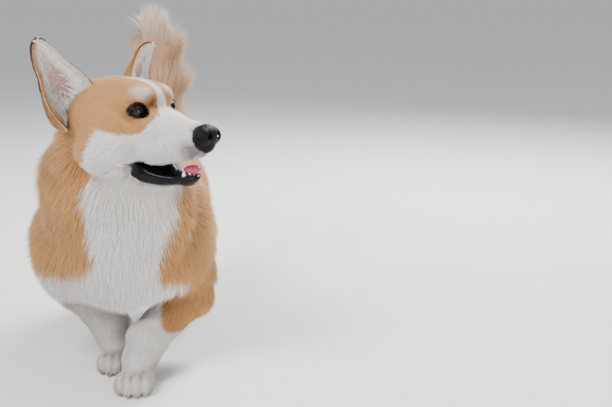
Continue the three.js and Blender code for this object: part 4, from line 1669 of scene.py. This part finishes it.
@dataclass
class Ears:
    """Both ears as cupped shells, with the fur on their backs and rims and the hair inside.

    Sizes are in millimetres, and open_out is how far an ear's opening turns outwards, in degrees. Shift is
    how far an ear's base lies to the front, and tip_up how high its tip stands.
    """

    anatomy: Anatomy
    width: float = 31.0
    thickness: float = 3.6
    open_out: float = 14.0
    rows: int = 44
    columns: int = 30
    base_curl: float = 96.0
    tip_curl: float = 38.0
    shift: dict[Side, float] = field(default_factory=lambda: {Side.LEFT: 7.0, Side.RIGHT: 0.0})
    tip_up: dict[Side, float] = field(default_factory=lambda: {Side.LEFT: 68.0, Side.RIGHT: 80.0})
    tufts: dict[EarFace, int] = field(default_factory=lambda: {EarFace.BACK: 5600, EarFace.FRONT: 5200})
    skin_finish: EarSkin = EarSkin()

    def shell(self, side: Side) -> tuple[Array, Array]:
        """Shapes the ear's middle surface.

        Args:
            side: which ear it is.

        Returns:
            Rows of points from base to tip, and the way that each faces inwards.
        """
        shift = self.shift[side]
        ends = [[-66 + shift, 44, -10], [-80 + shift, 60, 38], [-77 + shift, 90, self.tip_up[side]]]
        ends = np.array(ends, float)
        t = np.linspace(0, 0.99, self.rows)[:, None]
        spine = (1 - t) ** 2 * ends[0] + 2 * t * (1 - t) * ends[1] + t**2 * ends[2]
        way = unit(2 * (1 - t) * (ends[1] - ends[0]) + 2 * t * (ends[2] - ends[1]))
        lean = math.radians(self.open_out)
        opening = np.array([math.cos(lean), math.sin(lean), 0.0])
        across = -unit(np.cross(way, opening))
        front = unit(np.cross(across, way))
        front *= np.sign(front @ opening)[:, None]
        k = t[:, 0]
        spread = self.width * np.sqrt(1 - k**2.1) * (0.8 + 0.2 * np.sin(math.pi * np.minimum(k * 1.6, 1)))
        curl = np.radians(self.base_curl + (self.tip_curl - self.base_curl) * np.minimum(k * 1.25, 1))
        radius = spread / np.sin(np.minimum(curl, math.pi / 2))
        angle = np.linspace(-1, 1, self.columns)[None] * curl[:, None]
        r = radius[:, None, None]
        rise = np.cos(curl) * radius * 0.5 + radius * 0.35
        points = spine[:, None] + across[:, None] * np.sin(angle)[..., None] * r
        points = points + front[:, None] * (rise[:, None] - np.cos(angle) * radius[:, None])[..., None]
        inward = -(across[:, None] * np.sin(angle)[..., None]) + front[:, None] * np.cos(angle)[..., None]
        flip = np.array([1, side.value, 1])
        return self.anatomy.pose.world(points * flip), self.anatomy.pose.turn(inward * flip)

    def border(self) -> Array:
        """Lists the vertices round the edge of a face.

        Returns:
            Their numbers, once round.
        """
        rows, columns = self.rows, self.columns
        border = list(range(columns)) + [r * columns + columns - 1 for r in range(1, rows)]
        border += [(rows - 1) * columns + c for c in range(columns - 2, -1, -1)]
        border += [r * columns for r in range(rows - 2, 0, -1)]
        return np.array(border)

    def build(self) -> tuple[list[bpy.types.Object], list[EarSheet]]:
        """Builds both shells.

        Returns:
            The shells, and the sheets on which their fur roots.
        """
        pieces, sheets = [], []
        rows, columns = self.rows, self.columns
        across = np.abs(np.linspace(-1, 1, columns))[None] * np.ones((rows, 1))
        up = np.linspace(0, 1, rows)[:, None] * np.ones((1, columns))
        pink = (1 - smoothstep(across, 0.35, 0.8)) * smoothstep(up, 0.12, 0.3)
        pink = pink * (1 - smoothstep(up, 0.55, 0.85))
        edge = 1 - 0.75 * np.abs(np.linspace(-1, 1, columns)) ** 6
        half = (self.thickness / 2 * edge)[None, :, None] * np.ones((rows, 1, 1))
        half[-3:] *= 0.8
        i, j = np.meshgrid(np.arange(rows - 1), np.arange(columns - 1), indexing="ij")
        a = (i * columns + j).ravel()
        quad = np.stack([a, a + 1, a + columns + 1, a + columns], -1)
        b = self.border()
        c = np.roll(b, -1)
        count = rows * columns
        walls = [quad, quad[:, ::-1] + count, np.stack([b, b + count, c + count, c], -1)]
        for side in Side:
            name = side.name.lower()
            middle, inward = self.shell(side)
            front, back = middle + inward * half, middle - inward * half
            vertices = np.concatenate([front.reshape(-1, 3), back.reshape(-1, 3)])
            faces = np.concatenate(walls)
            faces = faces[:, ::-1] if side is Side.LEFT else faces
            piece = new_mesh(f"ear_shell_{name}", self.anatomy.place(vertices), faces)
            inner = np.stack([0 * up + 0.12, up, pink, 0 * up], -1).reshape(-1, 4)
            outer = np.stack([0 * up + 1, up, 0 * up, 0 * up], -1).reshape(-1, 4)
            paint(piece, "Marks", np.concatenate([inner, outer]))
            piece.data.materials.append(self.skin_finish.material(f"ear_{name}_finish"))
            pieces.append(finish_piece(piece, "tan_coat", f"ear_{name}"))
            surfaces = {EarFace.BACK: back, EarFace.FRONT: front}
            sheets.append(EarSheet(side.value, surfaces, inward, pink, up, across))
        return pieces, sheets

    def tuft_roots(self, sheet: EarSheet, face: EarFace) -> list[Array]:
        """Draws the tufts of one face of an ear.

        Args:
            sheet: the ear.
            face: which of its faces.

        Returns:
            Root, normal, lie, length, width, lift, marks and uv, one row for each tuft.
        """
        rows, columns, many = self.rows, self.columns, self.tufts[face]
        way = unit(np.gradient(sheet.faces[EarFace.FRONT], axis=0))
        sideways = unit(np.gradient(sheet.faces[EarFace.FRONT], axis=1))
        sideways = sideways * np.sign(np.linspace(-1, 1, columns))[None, :, None]
        i = RNG.random(many) * (rows - 1.001)
        j = RNG.random(many) * (columns - 1.001)
        if face is EarFace.FRONT:
            rim_draw, which_rim = RNG.random(many) < 0.75, RNG.random(many) < 0.5
            one_rim = RNG.random(many) ** 1.6 * 9
            other_rim = columns - 1.001 - RNG.random(many) ** 1.6 * 9
            j = np.where(rim_draw, np.where(which_rim, one_rim, other_rim), j)
        a, b = i.astype(int), j.astype(int)
        s, t = (i - a)[:, None], (j - b)[:, None]
        grid = sheet.faces[face]
        root = (1 - s) * ((1 - t) * grid[a, b] + t * grid[a, b + 1])
        root = root + s * ((1 - t) * grid[a + 1, b] + t * grid[a + 1, b + 1])
        normal = face.value * sheet.inward[a, b]
        up, rim = sheet.up[a, b], sheet.across[a, b]
        edge = smoothstep(rim, 0.86, 0.97)
        if face is EarFace.BACK:
            lie = unit(way[a, b] + 0.25 * sideways[a, b] * (1 - edge)[:, None])
            length = (8.5 - 3.5 * up + 7 * smoothstep(-up, -0.35, -0.05)) * (1 - 0.4 * edge)
            tan = np.ones(many)
            lift = np.full(many, 0.16)
            chance = np.ones(many)
        else:
            lie = unit(way[a, b] * 0.9 - 0.55 * sideways[a, b] * (1 - edge)[:, None])
            length = (9 + 13 * smoothstep(-up, -0.5, -0.1)) * (0.6 + 0.4 * rim)
            tan = 0.9 * smoothstep(rim, 0.90, 0.98)
            lift = 0.22 + 0.25 * (1 - edge) * smoothstep(-up, -0.6, -0.1)
            chance = 1 - 0.93 * sheet.pink[a, b]
        keep = RNG.random(many) < chance
        uv_u = 0.03 + 0.44 * i / rows + (0.5 if sheet.side < 0 else 0)
        uv_v = 0.03 + 0.44 * j / columns + (0.5 if face is EarFace.FRONT else 0)
        length = length * (0.8 + 0.4 * RNG.random(many))
        marks, uv = np.stack([tan, 0 * tan], -1), np.stack([uv_u, uv_v], -1)
        return [x[keep] for x in (root, normal, lie, length, np.full(many, 1.0), lift, marks, uv)]

    def fur(self, sheets: list[EarSheet], material: bpy.types.Material) -> list[bpy.types.Object]:
        """Grows the ears' fur.

        Args:
            sheets: both ears.
            material: the fur's finish.

        Returns:
            The pieces.
        """
        drawn = [self.tuft_roots(sheet, face) for sheet in sheets for face in EarFace]
        joined = [np.concatenate(values) for values in zip(*drawn)]
        still = np.zeros(len(joined[0]))
        return Tufts("coat_ears", self.anatomy, rings=2).build(Growth(*joined, still, still), material)


# The body
SKIN_NODES = (
    "torso", "neck", "head", "lower_jaw", "tail",
    "shoulder_left", "shoulder_right", "thigh_left", "thigh_right",
    "foreleg_left", "foreleg_right", "hindleg_left", "hindleg_right", "hindhock_left", "hindhock_right",
    "paw_foreleg_left", "paw_foreleg_right", "paw_hindleg_left", "paw_hindleg_right",
)  # fmt: skip


@dataclass
class Body:
    """The one skin of the dog and the coat that grows on it; sizes in millimetres."""

    anatomy: Anatomy
    coat: Coat
    low: Point = (-138.0, -262.0, -4.0)
    high: Point = (112.0, 244.0, 404.0)
    skin_step: float = 2.32
    unwrap_step: float = 7.0
    tufts: int = 330_000
    long_from: float = 10.0

    def slope(self, p: Array) -> Array:
        """Returns the skin's outward direction."""
        return slope_of(self.anatomy.skin, p, 0.8)

    def skin(self, material: bpy.types.Material) -> bpy.types.Object:
        """Builds the skin and remembers its shape for the coat.

        Args:
            material: the skin's finish.

        Returns:
            The skin.
        """
        low, high, step = np.array(self.low), np.array(self.high), self.skin_step
        vertices, quads = surface_net(sample(self.anatomy.skin, low, high, step), low, step)
        self.vertices = settle(self.anatomy.skin, self.slope, vertices, step)
        self.quads = quads
        self.normals = self.slope(self.vertices)
        about = self.coat.at(self.vertices, self.normals)
        piece = new_mesh("skin", self.anatomy.place(self.vertices), quads)
        tone = np.full(len(vertices), 0.5)
        paint(piece, "Marks", np.stack([about.tan, tone, tone, about.dark], -1))
        piece.data.materials.append(material)
        return finish_piece(piece, "tan_coat", *SKIN_NODES)

    def unwrap(self) -> tuple[BVHTree, Array, Array]:
        """Unwraps a coarse copy of the skin.

        Returns:
            A tree for looking up places on it, its triangles' corners, and their places on the unwrap.
        """
        low, high, step = np.array(self.low), np.array(self.high), self.unwrap_step
        values = sample(self.anatomy.skin, low, high, step, coarse=3)
        vertices, quads = surface_net(values, low, step)
        triangles = np.concatenate([quads[:, [0, 1, 2]], quads[:, [0, 2, 3]]])
        proxy = new_mesh("proxy", vertices * MM, triangles)
        bpy.ops.object.select_all(action="DESELECT")
        bpy.context.view_layer.objects.active = proxy
        proxy.select_set(True)
        bpy.ops.object.mode_set(mode="EDIT")
        bpy.ops.mesh.select_all(action="SELECT")
        bpy.ops.uv.smart_project(angle_limit=math.radians(66), island_margin=0.004)
        bpy.ops.object.mode_set(mode="OBJECT")
        uv = np.empty(len(proxy.data.loops) * 2, np.float32)
        proxy.data.uv_layers[0].data.foreach_get("uv", uv)
        tree = BVHTree.FromPolygons(vertices.tolist(), triangles.tolist())
        bpy.data.objects.remove(proxy)
        return tree, vertices[triangles], uv.reshape(-1, 3, 2)

    def places(self, root: Array) -> Array:
        """Finds the places of roots on the skin's unwrap.

        Args:
            root: places on the skin, in the dog's frame.

        Returns:
            The place of each on the unwrap.
        """
        tree, corners, uvs = self.unwrap()
        found = [tree.find_nearest(p) for p in root.tolist()]
        face = np.array([hit[2] for hit in found])
        at = np.array([hit[0][:] for hit in found])
        return (uvs[face] * barycentric(corners[face], at)[..., None]).sum(1)

    def roots(self, many: int) -> tuple[Array, Array]:
        """Draws places on the skin, evenly by area.

        Args:
            many: how many to draw.

        Returns:
            The places, and the skin's outward direction at each.
        """
        v, q = self.vertices, self.quads
        a, b, c, d = (v[q[:, k]] for k in range(4))
        area = 0.5 * np.linalg.norm(np.cross(c - a, d - b), axis=-1)
        pick = RNG.choice(len(q), many, p=area / area.sum())
        s, t = RNG.random((many, 1)), RNG.random((many, 1))
        n = self.normals
        corner = [q[pick, k] for k in range(4)]
        weight = [(1 - s) * (1 - t), s * (1 - t), s * t, (1 - s) * t]
        root = sum(w * v[k] for w, k in zip(weight, corner))
        normal = unit(sum(w * n[k] for w, k in zip(weight, corner)))
        return root, normal

    def fur(self, material: bpy.types.Material) -> list[bpy.types.Object]:
        """Grows the coat.

        Args:
            material: the fur's finish.

        Returns:
            The pieces, the short fur's first.
        """
        root, normal = self.roots(self.tufts * 3)
        about = self.coat.at(root, normal)
        chance = about.density * (1 - about.bare)
        chance = chance * self.tufts / chance.sum()
        keep = RNG.random(len(root)) < chance
        root, normal, about = root[keep], normal[keep], about.some(keep)
        depth = -self.anatomy.coat(root)
        length = about.length * (0.8 + 0.4 * RNG.random(len(root)))
        lift = np.arcsin(np.clip((depth + 1.0) / length, 0.08, 0.72)) * (0.85 + 0.3 * RNG.random(len(root)))
        wave = np.stack([np.sin(root @ RNG.normal(size=3) * 0.16 + k) for k in range(3)], -1)
        lie = about.lie + (0.10 * RNG.normal(size=root.shape) + 0.13 * wave)
        lie = unit(lie - (lie * normal).sum(-1, keepdims=True) * normal)
        tan = smoothstep(np.clip(about.tan + 0.10 * RNG.normal(size=len(root)), 0, 1), 0.15, 0.85)
        marks = np.stack([tan, about.dark * 0.8], -1)
        uv = self.places(root)
        rows = (root, normal, lie, length, about.width, lift, marks, uv, about.clump, about.fade)
        long = about.length > self.long_from
        pieces = []
        for name, which in (("coat_short", ~long), ("coat_long", long)):
            growth = Growth(*(row[which] for row in rows))
            pieces += Tufts(name, self.anatomy).build(growth, material)
        return pieces


def barycentric(corners: Array, p: Array) -> Array:
    """Finds the weights of places in their triangles.

    Args:
        corners: each triangle's three corners.
        p: a place in each.

    Returns:
        The three weights of each place.
    """
    ab, ac, ap = corners[:, 1] - corners[:, 0], corners[:, 2] - corners[:, 0], p - corners[:, 0]
    bb, bc, cc = (ab * ab).sum(-1), (ab * ac).sum(-1), (ac * ac).sum(-1)
    pb, pc = (ap * ab).sum(-1), (ap * ac).sum(-1)
    det = np.maximum(bb * cc - bc * bc, 1e-9)
    v, w = (cc * pb - bc * pc) / det, (bb * pc - bc * pb) / det
    return np.stack([1 - v - w, v, w], -1)


@dataclass
class Claws:
    """The claws, curved and blunt; sizes in millimetres."""

    anatomy: Anatomy
    rings: int = 6
    sides: int = 8
    radius: float = 1.9
    tip: float = 0.25
    ahead: float = 10.0
    length: float = 7.0
    height: float = 7.0
    drop: float = 4.5
    finish: Mottled = Mottled("claw_finish", (0.16, 0.12, 0.09), (0.30, 0.24, 0.19), 400.0, 0.35, 0.2)

    def points(self, leg: Leg, place: float) -> list[Array]:
        """Shapes one claw.

        Args:
            leg: the leg that it is on.
            place: its toe's place across the paw.

        Returns:
            The points of its rings, from root to tip.
        """
        turn = turn_z(leg.heading)
        across, forward, _ = toe_at(place)
        points = []
        for i in range(self.rings):
            t = i / (self.rings - 1)
            radius = self.radius * (1 - t) ** 0.5 + self.tip
            up = self.height - self.drop * t**1.6
            centre = np.array([across * 1.04, -(forward + self.ahead + self.length * t), up])
            for j in range(self.sides):
                angle = 2 * math.pi * j / self.sides
                offset = [math.cos(angle) * radius * 0.75, 0.3 * math.sin(angle) * radius]
                offset = np.array([*offset, math.sin(angle) * radius])
                point = turn @ (centre + offset) + np.array([*leg.paw, 0.0])
                point[2] = max(point[2], FLOOR_GAP)
                points.append(point)
        return points

    def faces(self, start: int) -> list[list[int]]:
        """Lists the quads of one claw.

        Args:
            start: the number of its first vertex.

        Returns:
            Its sides and both ends.
        """
        faces = []
        for i in range(self.rings - 1):
            for j in range(self.sides):
                a = start + i * self.sides + j
                b = start + i * self.sides + (j + 1) % self.sides
                faces.append([a, b, b + self.sides, a + self.sides])
        end = start + (self.rings - 1) * self.sides
        for j in range(1, self.sides - 2, 2):
            faces.append([start, start + j + 2, start + j + 1, start + j])
            faces.append([end, end + j, end + j + 1, end + j + 2])
        return faces

    def build(self) -> bpy.types.Object:
        """Builds all the claws as one piece.

        Returns:
            The piece.
        """
        vertices, faces = [], []
        for leg in LEGS.values():
            for place in TOES:
                faces += self.faces(len(vertices))
                vertices += self.points(leg, place)
        claws = new_mesh("claws", self.anatomy.place(np.array(vertices)), np.array(faces))
        claws.data.materials.append(self.finish.material())
        return finish_piece(claws, "nose_leather")


# The studio
@dataclass(frozen=True)
class CameraPlace:
    """Where the camera stands, in the dog's own frame in millimetres, and how it looks."""

    at: Point = (120.0, -1310.0, 450.0)
    heading: tuple[float, float] = (0.066, 0.998)
    down: float = 11.7
    focal_pixels: float = 1000.0


@dataclass(frozen=True)
class Lamp:
    """A soft square lamp: its place and size in metres and its power in watts."""

    name: str
    at: Point
    size: float
    power: float


@dataclass
class Studio:
    """The floor, the soft lights and the camera; sizes in metres."""

    anatomy: Anatomy
    camera: CameraPlace = CameraPlace()
    floor_size: float = 600.0
    floor_finish: Mottled = Mottled(
        "floor_finish", (0.78, 0.77, 0.75), (0.80, 0.79, 0.77), 3.0, 0.85, specular=0.2
    )
    sky: tuple[float, float, float, float] = (0.93, 0.95, 1.0, 1.0)
    sky_strength: float = 0.66
    lamps: tuple[Lamp, ...] = (
        Lamp("key", (-1.1, -1.5, 2.0), 1.0, 90.0),
        Lamp("rim", (0.9, 1.2, 1.6), 0.8, 80.0),
        Lamp("fill", (1.3, -1.8, 0.5), 1.2, 26.0),
    )
    aim: Point = (0.0, -0.05, 0.22)

    def build(self) -> None:
        """Builds the studio."""
        self.build_floor()
        self.build_lights()
        self.build_camera()

    def build_floor(self) -> None:
        """Lays the pale floor, which isn't part of the object."""
        bpy.ops.mesh.primitive_plane_add(size=self.floor_size, location=(0, 0, 0))
        floor = bpy.context.object
        floor.name = "floor"
        floor.data.materials.append(self.floor_finish.material())

    def build_lights(self) -> None:
        """Sets the even sky and the lamps."""
        world = bpy.data.worlds.new("studio")
        bpy.context.scene.world = world
        world.use_nodes = True
        background = world.node_tree.nodes["Background"]
        background.inputs["Color"].default_value = self.sky
        background.inputs["Strength"].default_value = self.sky_strength
        for lamp in self.lamps:
            light = bpy.data.lights.new(lamp.name, "AREA")
            light.energy, light.size = lamp.power, lamp.size
            holder = bpy.data.objects.new(lamp.name, light)
            holder.location = lamp.at
            way = Vector(self.aim) - Vector(lamp.at)
            holder.rotation_euler = way.to_track_quat("-Z", "Y").to_euler()
            bpy.context.scene.collection.objects.link(holder)

    def build_camera(self) -> None:
        """Stands the camera where the photograph's stood."""
        place = self.camera
        data = bpy.data.cameras.new("camera")
        data.sensor_width = SENSOR_WIDTH
        data.lens = place.focal_pixels * SENSOR_WIDTH / IMAGE_WIDTH
        camera = bpy.data.objects.new("camera", data)
        camera.location = self.anatomy.place(np.array([place.at], float))[0]
        drop = math.tan(math.radians(place.down))
        look = Vector((*place.heading, -drop * math.hypot(*place.heading)))
        camera.rotation_euler = look.to_track_quat("-Z", "Y").to_euler()
        bpy.context.scene.collection.objects.link(camera)
        bpy.context.scene.camera = camera


def report(pieces: Sequence[bpy.types.Object]) -> None:
    """Logs each piece with the number of its faces."""
    for piece in pieces:
        log.info("%s: %d faces", piece.name, len(piece.data.polygons))


def main() -> None:
    """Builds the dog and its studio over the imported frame."""
    logging.basicConfig(level=logging.INFO, format="%(message)s")
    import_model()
    anatomy = Anatomy()
    colours = FurColours()
    body = Body(anatomy, Coat(anatomy))
    report([body.skin(colours.material("skin_finish", flat=True))])
    report(Eyes(anatomy).build())
    report(Muzzle(anatomy).build())
    fur_finish = colours.material("fur_finish", flat=False)
    ears = Ears(anatomy)
    shells, sheets = ears.build()
    report(shells)
    report(ears.fur(sheets, fur_finish))
    report(body.fur(fur_finish))
    report([Claws(anatomy).build()])
    Studio(anatomy).build()


if __name__ == "__main__":
    main()
